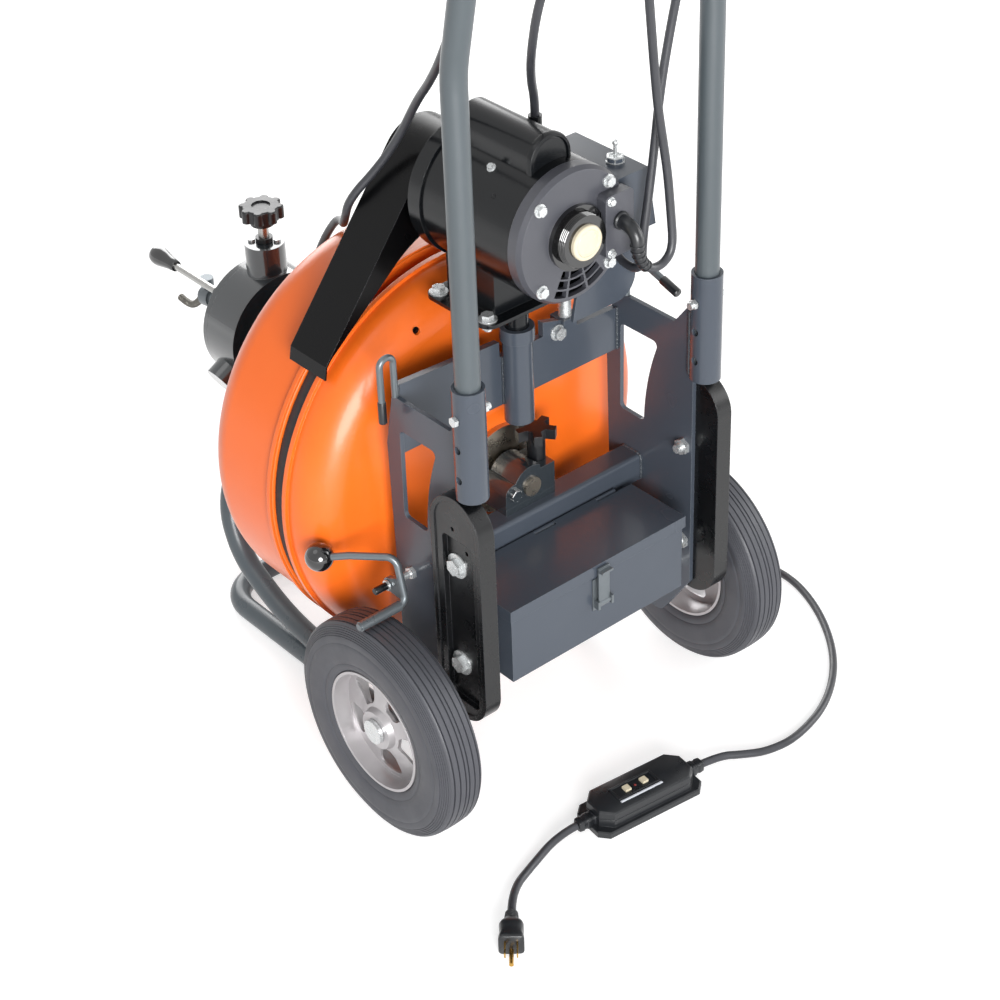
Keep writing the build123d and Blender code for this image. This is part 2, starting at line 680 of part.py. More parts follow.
dome_r = 25.0
dome_x = -4.5
dome_z = motor_z + 75
socket_x = 30.0
socket_y = 34.0
socket_z = motor_z + 88
with BuildPart() as capacitor_cover:
    with BuildSketch(back_plane(-27)):
        with Locations((dome_x, dome_z)):
            Circle(dome_r)
        with Locations((dome_x, dome_z - 16)):
            Rectangle(2 * dome_r, 32)
    extrude(amount=-112)
    fillet(capacitor_cover.faces().sort_by(Axis.Y)[0].edges().filter_by(GeomType.CIRCLE), 6)
    block(dome_x + dome_r - 3, socket_x, socket_y - 5, socket_y + 5, motor_z + 55, socket_z - 11)
    rod_z(socket_x, socket_y, motor_z + 55, socket_z, 7)
    rod_y(0, shell_back - 22, shell_front + 28, motor_z, motor_r + 0.05, Mode.SUBTRACT)
capacitor_cover.part.label = "capacitor_cover"
export_step(capacitor_cover.part, "parts/capacitor_cover.step")

cover_back = bell_face - 13
with BuildPart() as terminal_cover:
    block(29, 66, cover_back, bell_face, motor_z - 33, motor_z + 35)
    fillet(terminal_cover.edges().filter_by(Axis.Y), 6)
    rod_y(0, bell_face - 6, bell_face + 1, motor_z, ring_top + 0.1, Mode.SUBTRACT)
terminal_cover.part.label = "terminal_cover"
export_step(terminal_cover.part, "parts/terminal_cover.step")

# Motor shaft with its rotor core, and the small pulley
pulley_back = belt_y - 15.7
pulley_front = belt_y + 15.3
pulley_rim = pulley_pitch_r + 10.6
pulley_bore = motor_shaft_r + 0.02
with BuildPart() as motor_rotor:
    rod_y(0, bell_face - 1, pulley_front + 1, motor_z, motor_shaft_r)
    rod_y(0, -15, 75, motor_z, 45)
motor_rotor.part.label = "motor_rotor"
export_step(motor_rotor.part, "parts/motor_rotor.step")

groove_r = pulley_pitch_r + pitch_drop - belt_depth - 0.5
pulley_profile = [
    (pulley_back, pulley_bore), (pulley_front, pulley_bore), (pulley_front, pulley_rim),
    (groove_front + 1.6, pulley_rim), (groove_front, groove_r), (groove_back, groove_r),
    (groove_back - 1.6, pulley_rim), (pulley_back, pulley_rim),
]
with BuildPart() as motor_pulley:
    with BuildSketch(motor_plane):
        with BuildLine():
            Polyline(*pulley_profile, close=True)
        make_face()
    revolve(axis=motor_axis)
motor_pulley.part.label = "motor_pulley"
export_step(motor_pulley.part, "parts/motor_pulley.step")

# Belt loop round the drum and the pulley, tangent to both
centre_gap = motor_z - drum_z
pulley_belt_r = pulley_pitch_r + pitch_drop
lap = acos((belt_r - pulley_belt_r) / centre_gap)


def loop_points(big, small):
    left = radians(90) + lap
    right = radians(90) - lap
    return [
        (big * cos(right), drum_z + big * sin(right)), (small * cos(right), motor_z + small * sin(right)),
        (0, motor_z + small), (small * cos(left), motor_z + small * sin(left)),
        (big * cos(left), drum_z + big * sin(left)), (0, drum_z - big),
    ]


with BuildPart() as drive_belt:
    for drop, mode in ((0.0, Mode.ADD), (belt_depth, Mode.SUBTRACT)):
        p = loop_points(belt_r - drop, pulley_belt_r - drop)
        with BuildSketch(back_plane(belt_y - belt_w / 2)):
            with BuildLine():
                Line(p[0], p[1])
                ThreePointArc(p[1], p[2], p[3])
                Line(p[3], p[4])
                ThreePointArc(p[4], p[5], p[0])
            make_face()
        extrude(amount=-belt_w, mode=mode)
drive_belt.part.label = "drive_belt"
export_step(drive_belt.part, "parts/drive_belt.step")

# Belt guard: a channel over the pulley with arched side walls and lips turned in at the ends
guard_gap = 18.0
guard_skin = 2.0
guard_back = belt_y - 30.7
guard_front = belt_y + 29.3
lip_len = 15.0
lip_turn = radians(180) + lap + radians(27)
guard_r = pulley_belt_r + guard_gap
guard_left = radians(90) + lap
guard_run = centre_gap * sin(lap) - 30.6
guard_tan = (guard_r * cos(guard_left), motor_z + guard_r * sin(guard_left))
guard_low = (guard_tan[0] - guard_run * cos(lap), guard_tan[1] - guard_run * sin(lap))
skin_r = guard_r - guard_skin
skin_tan = (skin_r * cos(guard_left), motor_z + skin_r * sin(guard_left))
skin_low = (skin_tan[0] - guard_run * cos(lap), skin_tan[1] - guard_run * sin(lap))
lip_out = (guard_low[0] + lip_len * cos(lip_turn), guard_low[1] + lip_len * sin(lip_turn))
lip_in = (lip_out[0] - guard_skin * sin(lip_turn), lip_out[1] + guard_skin * cos(lip_turn))
arch_top = (0, drum_z + flange_r + 51)
arch_side = (-84, drum_z + flange_r + 20)
with BuildPart() as belt_guard:
    with BuildSketch(back_plane(guard_back)):
        with BuildLine():
            Line(lip_out, guard_low)
            Line(guard_low, guard_tan)
            ThreePointArc(guard_tan, (0, motor_z + guard_r), (-guard_tan[0], guard_tan[1]))
            Line((-guard_tan[0], guard_tan[1]), (-guard_low[0], guard_low[1]))
            Line((-guard_low[0], guard_low[1]), (-lip_out[0], lip_out[1]))
            Line((-lip_out[0], lip_out[1]), (-lip_in[0], lip_in[1]))
            Line((-lip_in[0], lip_in[1]), (-skin_low[0], skin_low[1]))
            Line((-skin_low[0], skin_low[1]), (-skin_tan[0], skin_tan[1]))
            ThreePointArc((-skin_tan[0], skin_tan[1]), (0, motor_z + skin_r), skin_tan)
            Line(skin_tan, skin_low)
            Line(skin_low, lip_in)
            Line(lip_in, lip_out)
        make_face()
    extrude(amount=guard_back - guard_front)
    for wall_y in (guard_back, guard_front - guard_skin):
        with BuildSketch(back_plane(wall_y)):
            with BuildLine():
                Line(guard_low, guard_tan)
                ThreePointArc(guard_tan, (0, motor_z + guard_r), (-guard_tan[0], guard_tan[1]))
                Line((-guard_tan[0], guard_tan[1]), (-guard_low[0], guard_low[1]))
                Line((-guard_low[0], guard_low[1]), (-arch_side[0], arch_side[1]))
                ThreePointArc((-arch_side[0], arch_side[1]), arch_top, arch_side)
                Line(arch_side, guard_low)
            make_face()
        extrude(amount=-guard_skin)
    rod_y(0, guard_back - 1, guard_back + 5, motor_z, 12, Mode.SUBTRACT)
belt_guard.part.label = "belt_guard"
export_step(belt_guard.part, "parts/belt_guard.step")

# Switch box beside the motor: sloped case on a bracket, gland below, ball seat for the toggle
switch_back = -47.0
switch_front = 59.0
switch_top = motor_z + 35
switch_low = motor_z - 32
case_wall = 3.0
toggle_x = 90.0
toggle_y = -16.0
toggle_z = switch_top - 2
ball_r = 5.0
trunnion_r = 1.5
gland_x = 82.0
gland_y = -20.0
case_edge = [(60, switch_top), (105, switch_top), (116, switch_low), (60, switch_low)]
room_edge = [
    (76, switch_top - case_wall), (102.3, switch_top - case_wall), (112.4, switch_low + case_wall),
    (76, switch_low + case_wall),
]
bracket_edge = [(40, base_z - 32), (127, base_z - 32), (127, base_z + 2), (116, switch_low), (60, switch_low)]
with BuildPart() as switch_box:
    with BuildSketch(back_plane(switch_back)):
        with BuildLine():
            Polyline(*case_edge, close=True)
        make_face()
    extrude(amount=switch_back - switch_front)
    with BuildSketch(back_plane(switch_back + case_wall)):
        with BuildLine():
            Polyline(*room_edge, close=True)
        make_face()
    extrude(amount=switch_back - switch_front + 2 * case_wall, mode=Mode.SUBTRACT)
    with BuildSketch(back_plane(-6)) as bracket_face:
        with BuildLine():
            Polyline(*bracket_edge, close=True)
        make_face()
        fillet(bracket_face.vertices().filter_by(lambda v: v.X > 120 and v.Y < base_z - 20), 26)
    extrude(amount=-4)
    rod_y(0, shell_back - 22, shell_front + 28, motor_z, motor_r + 0.05, Mode.SUBTRACT)
    rod_z(toggle_x, toggle_y, switch_top - 10, switch_top + 5, 9)
    rod_z(toggle_x, toggle_y, switch_top - 11, toggle_z - 3.8, 3.5, Mode.SUBTRACT)
    with Locations(spot(toggle_x, toggle_y, toggle_z)):
        Sphere(ball_r + running, mode=Mode.SUBTRACT)
    with Locations(spot(toggle_x, toggle_y, toggle_z + 4.5)):
        Cone(3.4, 5.6, 6.2, mode=Mode.SUBTRACT)
    rod_x(toggle_x - 7.2, toggle_x + 7.2, toggle_y, toggle_z, trunnion_r + running, Mode.SUBTRACT)
    rod_z(gland_x, gland_y, switch_low - 10, switch_low + 1, 7)
switch_box.part.label = "switch_box"
export_step(switch_box.part, "parts/switch_box.step")

with BuildPart() as toggle:
    with Locations(spot(toggle_x, toggle_y, toggle_z)):
        Sphere(ball_r)
    rod_x(toggle_x - 7, toggle_x + 7, toggle_y, toggle_z, trunnion_r)
    rod_z(toggle_x, toggle_y, toggle_z, toggle_z + 21, 2)
    with Locations(spot(toggle_x, toggle_y, toggle_z + 22)):
        Sphere(3.2)
toggle.part.label = "toggle"
export_step(toggle.part, "parts/toggle.step")

# Cable feed: round housing with three bosses and a stud for every roller
roller_r = 15.0
roller_arm = cable_d / 2 + roller_r + 0.35
stud_angles = (90.0, 210.0, 330.0)
stud_r = 5.0
feed_mid = (feed_back + feed_front) / 2
boss_top = drum_z + feed_r + 36
stem_r = 6.0
feed_screws = ((-10.6, 10.6), (10.6, -10.6))
with BuildPart() as feed_housing:
    rod_y(0, feed_back, feed_front, drum_z, feed_r)
    rod_y(0, ring_front, feed_back, drum_z, 50)
    for angle in stud_angles:
        reach = feed_r + 36 if angle == 90.0 else feed_r + 18
        out = Vector(cos(radians(angle)), 0, sin(radians(angle)))
        foot = Vector(*spot(0, feed_mid, drum_z)) + out * 50
        with BuildSketch(Plane(origin=foot, z_dir=out)):
            Circle(24 if angle == 90.0 else 21)
        extrude(amount=reach - 50)
    rod_y(0, feed_back + 6, feed_front + 1, drum_z, feed_r - 6, Mode.SUBTRACT)
    rod_y(0, ring_front - 1, feed_back + 7, drum_z, neck_r + 1.2, Mode.SUBTRACT)
    rod_z(0, feed_mid, drum_z + 40, boss_top + 1, stem_r + running, Mode.SUBTRACT)
    for x, y in feed_screws:
        rod_z(x, feed_mid + y, boss_top - 9, boss_top + 1, 2.1, Mode.SUBTRACT)
    for angle in stud_angles:
        x = roller_arm * cos(radians(angle))
        z = drum_z + roller_arm * sin(radians(angle))
        rod_y(x, feed_back + 2, feed_front - 7, z, stud_r)
    rod_y(0, feed_back - 5, feed_back + 10, drum_z, 14.5, Mode.SUBTRACT)
feed_housing.part.label = "feed_housing"
export_step(feed_housing.part, "parts/feed_housing.step")

with BuildPart() as tension_knob:
    rod_z(0, feed_mid, drum_z + 45, boss_top + 38, stem_r)
    rod_z(0, feed_mid, boss_top + 0.4, boss_top + 6, 10)
    rod_z(0, feed_mid, boss_top + 23, boss_top + 33, 14)
    with BuildSketch(Plane(origin=spot(0, feed_mid, boss_top + 32))):
        Circle(22)
        with PolarLocations(20.5, 8):
            Circle(5.8)
    extrude(amount=15)
    fillet(tension_knob.faces().sort_by(Axis.Z)[-1].edges(), 2)
    rod_z(0, feed_mid, boss_top + 45, boss_top + 48, 11, Mode.SUBTRACT)
tension_knob.part.label = "tension_knob"
export_step(tension_knob.part, "parts/tension_knob.step")

# Nose tube: flange on the studs, neck through the selector plate, guide tube that droops
nose_y = feed_front + 4
nose_len = 116.0
nose_dir = (0, cos(radians(nose_drop)), -sin(radians(nose_drop)))
nose_root = spot(0, nose_y, drum_z)
nose_end = Vector(*nose_root) + Vector(*nose_dir) * nose_len
stop_y = nose_y + 106
with BuildPart() as nose_tube:
    rod_y(0, feed_front - 7, feed_front - 0.4, drum_z, 34)
    rod_y(0, feed_front - 7, nose_y + 10, drum_z, 16)
    rod_y(0, nose_y + 4.5, nose_y + 10, drum_z, 21)
    with BuildSketch(Plane(origin=nose_root, z_dir=nose_dir)):
        Circle(10.5)
    extrude(amount=nose_len)
    with BuildSketch(Plane(origin=nose_end - Vector(*nose_dir) * 22, z_dir=nose_dir)):
        Circle(13)
    extrude(amount=18)
    rod_z(0, stop_y, nose_end.Z + 6, nose_end.Z + 27, 5)
    rod_z(0, stop_y, nose_end.Z + 17, nose_end.Z + 27, 8.5)
    rod_y(0, nose_y - 16, nose_y + 14, drum_z, 8, Mode.SUBTRACT)
    with BuildSketch(Plane(origin=nose_root, z_dir=nose_dir)):
        Circle(7)
    extrude(amount=nose_len + 4, mode=Mode.SUBTRACT)
nose_tube.part.label = "nose_tube"
export_step(nose_tube.part, "parts/nose_tube.step")

arm_x = -46.0
arm_z = drum_z + 45
arm_r = 4.0
arm_end = nose_y + 110
with BuildPart() as feed_lever:
    rod_y(0, feed_front + 0.2, feed_front + 8, drum_z, feed_r)
    rod_y(arm_x, feed_front + 7, arm_end, arm_z, arm_r)
    rod_y(arm_x, feed_front + 7, feed_front + 14, arm_z, 8)
    rod_y(0, feed_front - 2, feed_front + 10, drum_z, 16 + running, Mode.SUBTRACT)
feed_lever.part.label = "feed_lever"
export_step(feed_lever.part, "parts/feed_lever.step")

grip_y = arm_end - 14
grip_profile = [(0, 0), (0, 7), (32, 12), (41, 12), (48, 8), (49, 0)]
with BuildPart() as feed_lever_knob:
    with BuildSketch(Plane(origin=spot(arm_x, grip_y, arm_z), x_dir=(0, 1, 0), z_dir=(1, 0, 0))):
        with BuildLine():
            Polyline(*grip_profile, close=True)
        make_face()
    revolve(axis=Axis(spot(arm_x, grip_y, arm_z), (0, 1, 0)))
    rod_y(arm_x, grip_y - 1, arm_end + 0.1, arm_z, arm_r + 0.02, Mode.SUBTRACT)
feed_lever_knob.part.label = "feed_lever_knob"
export_step(feed_lever_knob.part, "parts/feed_lever_knob.step")


def roller(angle):
    x = roller_arm * cos(radians(angle))
    z = drum_z + roller_arm * sin(radians(angle))
    with BuildPart() as turned:
        rod_y(x, feed_mid - 14, feed_mid + 14, z, roller_r)
        rod_y(x, feed_mid - 15, feed_mid + 15, z, stud_r + running, Mode.SUBTRACT)
    return turned


feed_roller_top = roller(90.0)
feed_roller_top.part.label = "feed_roller_top"
export_step(feed_roller_top.part, "parts/feed_roller_top.step")

feed_roller_left = roller(210.0)
feed_roller_left.part.label = "feed_roller_left"
export_step(feed_roller_left.part, "parts/feed_roller_left.step")

feed_roller_right = roller(330.0)
feed_roller_right.part.label = "feed_roller_right"
export_step(feed_roller_right.part, "parts/feed_roller_right.step")

# Drain cable from the drum neck through the feed, drooping out of the nose with a curled end
nose_exit = Vector(0, nose_y, drum_z) + Vector(*nose_dir) * (nose_len + 0.6)
droop_z = nose_exit.Z - 31.3
curl = radians(12.6)
curl_y = cable_tip - 18
tip_y = cable_tip - cable_d / 2 * sin(curl)
cable_path = [
    (0, neck_root + 16, drum_z), (0, nose_y, drum_z), (0, nose_exit.Y, nose_exit.Z),
    (0, nose_exit.Y + 22, nose_exit.Z - 24.3), (0, curl_y, droop_z),
    (0, tip_y, droop_z + (tip_y - curl_y) * tan(curl)),
]
with BuildPart() as drain_cable:
    add(bent(cable_path, [150, 14, 30, 30], cable_d))
drain_cable.part.label = "drain_cable"
export_step(drain_cable.part, "parts/drain_cable.step")

# Wheel brake: a bent lever with a bar that presses on the tyre
rod_d = 8.0
knob_x = drum_r - 0.5
brake_path = [
    (-brake_x - 62, 10, brake_z), (-brake_x, 10, brake_z), (-brake_x, 22, brake_z + 51.5),
    (-brake_x - 30, 62, brake_z + 47.5), (-knob_x - 0.5, 86, brake_z + 41.5),
]
link_edge = [
    (10, brake_z + 3), (pivot_y, pivot_z - 8), (pivot_y, pivot_z + 8), (17, brake_z + 28), (13, brake_z + 26),
]
with BuildPart() as brake_lever:
    add(bent(brake_path, [9, 12, 20], rod_d))
    rod_x(-brake_x - 60, -brake_x - 8, 10, brake_z, brake_bar_r)
    rod_x(-brake_x - 3, -brake_x + 3, pivot_y, pivot_z, 8)
    with BuildSketch(side_plane(-brake_x - 3)):
        with BuildLine():
            Polyline(*link_edge, close=True)
        make_face()
    extrude(amount=6)
    rod_x(-brake_x - 4, -brake_x + 4, pivot_y, pivot_z, pivot_r + running, Mode.SUBTRACT)
brake_lever.part.label = "brake_lever"
export_step(brake_lever.part, "parts/brake_lever.step")

knob_run = Vector(*brake_path[4]) - Vector(*brake_path[3])
with BuildPart() as brake_knob:
    with Locations(spot(-knob_x, 89, brake_z + 40.5)):
        Sphere(15.5)
    with BuildSketch(Plane(origin=spot(*brake_path[3]), z_dir=knob_run)):
        Circle(rod_d / 2 + 0.05)
    extrude(amount=knob_run.length + 0.1, mode=Mode.SUBTRACT)
brake_knob.part.label = "brake_knob"
export_step(brake_knob.part, "parts/brake_knob.step")

# Bolts, nuts and washers of the frame, the motor, the bearing, the brake and the feed
bolts = []
for side in (-1, 1):
    sleeve_out = side * (sleeve_x + 17)
    bolts.append(hex_bolt((sleeve_out, sleeve_y, hole_rows[2]), (side, 0, 0), 5.5, 4, 4, 42, 0, 34.2))
    for bolt_z in glide_rows:
        bolts.append(hex_bolt((side * pocket_x, glide_bolt_y, bolt_z), (side, 0, 0), 9.5, 6, 5, 29, 14, 17.05))
    for z in (-bell_bolt, bell_bolt):
        bolts.append(hex_bolt((side * bell_bolt, bell_face, motor_z + z), (0, -1, 0), 5.5, 4, 3, 8, 7))
for x, y in base_bolts:
    bolts.append(hex_bolt((x, y, base_z + 4), (0, 0, 1), 7, 5, 4, 12, 10, 4.05))
for x, y in feed_screws:
    with BuildPart() as screw:
        rod_z(x, feed_mid + y, boss_top - 8, boss_top, 2)
        rod_z(x, feed_mid + y, boss_top, boss_top + 3, 4.2)
    bolts.append(screw.part)
bolts.append(hex_bolt((pinch_x, seat_back, drum_z), (0, -1, 0), 7, 5, 4, 18))
bolts.append(hex_bolt((tab_bolt_x, bar_back, tab_bolt_z), (0, -1, 0), 7.5, 6, 5, 14, 9))
with BuildPart() as brake_stud:
    add(hex_bolt((-plate_out, pivot_y, pivot_z), (-1, 0, 0), 7, 5, pivot_r, plate_t))
    rod_x(-plate_out - 1, -brake_x - 21, pivot_y, pivot_z, pivot_r)
    rod_x(-brake_x - 6, -brake_x - 4, pivot_y, pivot_z, 6)
    rod_x(-brake_x + 4, -brake_x + 7, pivot_y, pivot_z, 6)
bolts.append(brake_stud.part)
with BuildPart() as belt_screw:
    rod_z(78, (bar_back + bar_front) / 2, ledge_z, base_z, 7)
bolts.append(belt_screw.part)
with BuildPart() as hex_bolts:
    add(bolts)
hex_bolts.part.label = "hex_bolts"
export_step(hex_bolts.part, "parts/hex_bolts.step")

# Moulded elbow on the terminal cover
elbow_x = 48.0
elbow_y = cover_back - 24
elbow_path = [
    (elbow_x, cover_back, motor_z + 5), (elbow_x, elbow_y, motor_z + 5), (elbow_x, elbow_y, motor_z - 29),
    (elbow_x + 12, elbow_y, motor_z - 41),
]
with BuildPart() as strain_relief:
    add(bent(elbow_path, [13, 14], 15))
strain_relief.part.label = "strain_relief"
export_step(strain_relief.part, "parts/strain_relief.step")

# Mains cord: elbow, up and over the handle bar, down past the guard, along the floor to the breaker
floor_z = cord_d / 2 + 0.1
drum_top = drum_z + drum_r
mains_path = [
    (60.1, -92, motor_z - 41.1), (66.5, -92, motor_z - 47.5), (84.7, -92, motor_z - 47.5),
    (97.6, -91, motor_z - 34.6), (97, -88, motor_z), (94, -86, motor_z + 45), (88, -85, motor_z + 82),
    (80, -86, motor_z + 120), (70, -91, 812), (55, -101, 872), (36, -114, 945), (10, -134, 1035),
    (-14, -158, 1120), (-24, -174, 1165), (-36, -167, 1197), (-56, -142, 1208), (-76, -114, 1196),
    (-90, -106, 1160), (-97, -92, 1085), (-96, -58, 1000), (-89, -8, 905), (-74, 44, motor_z + 179),
    (-58, 86, motor_z + 133), (-48, 120, motor_z + 100), (-48, 150, motor_z + 52), (-62, 170, motor_z + 15),
    (-88, 190, motor_z - 20), (-86, 203, motor_z - 50), (-70, 228, drum_top + 27),
    (-50, 258, drum_top + 14), (-38, 288, drum_top - 4), (-40, 314, drum_top - 42), (-44, 338, drum_top - 98),
    (-56, 358, 390), (-68, 368, 320), (-70, 378, 220), (-58, 382, 115), (-30, 378, 42), (10, 362, floor_z),
    (54, 322, floor_z), (78, 268, floor_z), (90, 222, 14), (112, 192, 34), (138, 172, 41), (164, 154, 34),
    (190, 140, 14), (226, 130, floor_z), (276, 126, floor_z), (326, 116, floor_z), (370, 82, floor_z),
    (396, 11, floor_z), (372, -67, floor_z), (319, -144, floor_z), (252, -194, floor_z),
    (182, -213, floor_z), (140, -207, floor_z), (112, -194, 8), (88.5, -181.5, 12), (64.8, -177.7, 12),
]
with BuildPart() as mains_cord:
    add(cord(mains_path, cord_d, "mains_cord"))
mains_cord.part.label = "mains_cord"
export_step(mains_cord.part, "parts/mains_cord.step")

# Switch lead: box gland, up and over the bar, down to the capacitor cover
switch_path = [
    (gland_x, gland_y, switch_low - 10.1), (gland_x, gland_y, motor_z - 66), (79, -66, motor_z - 68),
    (79, -67, motor_z - 28), (86, -67, motor_z + 12), (94, -67, motor_z + 65), (100, -68, 770),
    (111, -73, 845), (114, -90, 925), (106, -112, 1005), (94, -138, 1085), (84, -164, 1140),
    (78, -174, 1172), (68, -162, 1200), (56, -138, 1207), (44, -113, 1193), (36, -105, 1155),
    (22, -88, 1080), (0, -62, 985), (-20, -34, 890), (-8, -6, 822), (14, 20, 778),
    (socket_x, socket_y, socket_z + 19), (socket_x, socket_y, socket_z + 0.1),
]
with BuildPart() as switch_lead:
    add(cord(switch_path, cord_d, "switch_lead"))
switch_lead.part.label = "switch_lead"
export_step(switch_lead.part, "parts/switch_lead.step")

# Leakage breaker on the cord: flat body on a wider foot, with wells for its two buttons
breaker_turn = -6.6
breaker_plane = Plane(Location(spot(-19, -168, 0), (0, 0, breaker_turn)))
foot_h = 9.0
body_h = 20.0
gland_z = 12.0
button_u = (-17.7, 5.1)
button_size = (7.4, 8.0)
button_z = 25.0
well_z = 22.0
with BuildPart() as gfci_box:
    with BuildSketch(breaker_plane) as foot_face:
        Rectangle(140, 58)
        chamfer(foot_face.vertices(), 10)
    extrude(amount=foot_h)
    with BuildSketch(breaker_plane.offset(foot_h)) as body_face:
        Rectangle(126, 48)
        chamfer(body_face.vertices(), 12)
    extrude(amount=body_h)
    with BuildSketch(breaker_plane.offset(gland_z)):
        Rectangle(168, 15)
    extrude(amount=7.5, both=True)
    with BuildSketch(breaker_plane.offset(well_z)):
        for u in button_u:
            with Locations((u, 0)):
                Rectangle(button_size[0] + 0.8, button_size[1] + 0.8)
    extrude(amount=body_h, mode=Mode.SUBTRACT)
gfci_box.part.label = "gfci_box"
export_step(gfci_box.part, "parts/gfci_box.step")

with BuildPart() as test_button:
    with BuildSketch(breaker_plane.offset(button_z)):
        with Locations((button_u[0], 0)):
            Rectangle(*button_size)
    extrude(amount=7)
test_button.part.label = "test_button"
export_step(test_button.part, "parts/test_button.step")

with BuildPart() as reset_button:
    with BuildSketch(breaker_plane.offset(button_z)):
        with Locations((button_u[1], 0)):
            Rectangle(*button_size)
    extrude(amount=7)
reset_button.part.label = "reset_button"
export_step(reset_button.part, "parts/reset_button.step")

# Short lead from the breaker to the plug
plug_path = [
    (-102.8, -158.3, gland_z), (-128, -155.5, 11), (-172, -166, floor_z + 1), (-217, -184.3, 11),
    (-239.8, -210.3, 13.5),
]
with BuildPart() as plug_lead:
    add(cord(plug_path, cord_d, "plug_lead"))
plug_lead.part.label = "plug_lead"
export_step(plug_lead.part, "parts/plug_lead.step")

plug_dir = (-0.66, -0.751, 0)
plug_face = 46.0
plug_plane = Plane(origin=spot(-240, -210.5, 13.5), x_dir=(0.751, -0.66, 0), z_dir=plug_dir)
with BuildPart() as plug:
    with BuildSketch(plug_plane):
        Circle(7.5)
    extrude(amount=14)
    with BuildSketch(plug_plane.offset(12)):
        RectangleRounded(27, 26, 8)
    extrude(amount=plug_face - 12)
plug.part.label = "plug"
export_step(plug.part, "parts/plug.step")

with BuildPart() as plug_pins:
    with BuildSketch(plug_plane.offset(plug_face)):
        with Locations((-6.35, 3), (6.35, 3)):
            Rectangle(1.6, 6.4)
    extrude(amount=17)
    with BuildSketch(plug_plane.offset(plug_face)):
        with Locations((0, -7)):
            Circle(2.4)
    extrude(amount=20)
plug_pins.part.label = "plug_pins"
export_step(plug_pins.part, "parts/plug_pins.step")
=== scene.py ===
import bmesh
import bpy
import math
from mathutils import Matrix, Vector


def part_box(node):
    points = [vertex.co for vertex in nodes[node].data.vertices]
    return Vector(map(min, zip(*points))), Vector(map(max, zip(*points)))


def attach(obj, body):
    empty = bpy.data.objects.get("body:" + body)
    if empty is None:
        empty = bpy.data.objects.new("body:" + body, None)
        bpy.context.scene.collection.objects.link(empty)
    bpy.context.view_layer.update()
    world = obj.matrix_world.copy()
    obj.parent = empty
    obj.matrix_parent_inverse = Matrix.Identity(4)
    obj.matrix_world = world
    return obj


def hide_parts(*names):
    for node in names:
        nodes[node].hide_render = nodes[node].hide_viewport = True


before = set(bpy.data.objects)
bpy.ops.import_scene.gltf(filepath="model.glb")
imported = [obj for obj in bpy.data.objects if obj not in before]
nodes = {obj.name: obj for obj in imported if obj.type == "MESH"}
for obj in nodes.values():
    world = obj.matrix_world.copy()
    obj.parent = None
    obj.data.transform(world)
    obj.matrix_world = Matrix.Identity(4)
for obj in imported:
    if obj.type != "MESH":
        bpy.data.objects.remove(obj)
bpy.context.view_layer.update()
scene = bpy.context.scene
scene.view_settings.view_transform = "Standard"
mm = 0.001
axleLow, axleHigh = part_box("axle")
axleY = (axleLow.y + axleHigh.y) / 2
print("frame loaded:", len(nodes), "nodes")


# sizes below are in millimetres, with y counted forward from the wheel axle, as in the part
def spot(x, y, z):
    return Vector((x * mm, y * mm + axleY, z * mm))


def link(thing):
    scene.collection.objects.link(thing)
    return thing


def hexLinear(text):
    parts = [int(text[i:i + 2], 16) / 255 for i in (1, 3, 5)]
    return (*[p / 12.92 if p <= 0.04045 else ((p + 0.055) / 1.055) ** 2.4 for p in parts], 1.0)


# adds one node: settings go to sockets by name or number, else to the node's own fields
def addNode(tree, kind, settings=None, links=None):
    made = tree.nodes.new(kind)
    for key, value in (settings or {}).items():
        if isinstance(key, str) and hasattr(made, key):
            setattr(made, key, value)
        else:
            made.inputs[key].default_value = value
    for key, source in (links or {}).items():
        tree.links.new(source, made.inputs[key])
    return made


# a math node on numbers or vectors; each value is a socket to link or a plain setting
def mathNode(tree, operation, first, second=None, kind="Math"):
    made = addNode(tree, "ShaderNode" + kind, {"operation": operation})
    for key, value in ((0, first), ("Scale" if operation == "SCALE" else 1, second)):
        if isinstance(value, bpy.types.NodeSocket):
            tree.links.new(value, made.inputs[key])
        elif value is not None:
            made.inputs[key].default_value = value
    single = kind == "Math" or operation in ("DOT_PRODUCT", "LENGTH")
    return made.outputs["Value" if single else "Vector"]


# 1 where a ray shows the background: seen straight on, mirrored or through something clear
def seenRays(tree):
    ray = addNode(tree, "ShaderNodeLightPath").outputs
    seen = mathNode(tree, "MAXIMUM", ray["Is Camera Ray"], ray["Is Glossy Ray"])
    return mathNode(tree, "MAXIMUM", seen, ray["Is Transmission Ray"])


# camera: the photograph's own angle, worked out from the wheels, handle and toolbox
cameraFit = {"azimuth": -39.5, "elevation": 34.9, "roll": -2.2, "aim": (-37.2, 28.6, 310.0),
             "distance": 2503.8, "lens": 85.02, "sensor": 36.0}


def makeCamera(fit):
    a, e, r = (math.radians(fit[k]) for k in ("azimuth", "elevation", "roll"))
    back = Vector((math.sin(a) * math.cos(e), -math.cos(a) * math.cos(e), math.sin(e)))
    level = Vector((math.cos(a), math.sin(a), 0))
    rise = back.cross(level)
    right = level * math.cos(r) + rise * math.sin(r)
    up = rise * math.cos(r) - level * math.sin(r)
    data = bpy.data.cameras.new("camera")
    data.lens = fit["lens"]
    data.sensor_width = fit["sensor"]
    camera = link(bpy.data.objects.new("camera", data))
    turn = Matrix((right, up, back)).transposed().to_4x4()
    camera.matrix_world = Matrix.Translation(spot(*fit["aim"]) + back * fit["distance"] * mm) @ turn
    scene.camera = camera


makeCamera(cameraFit)
print("camera set")


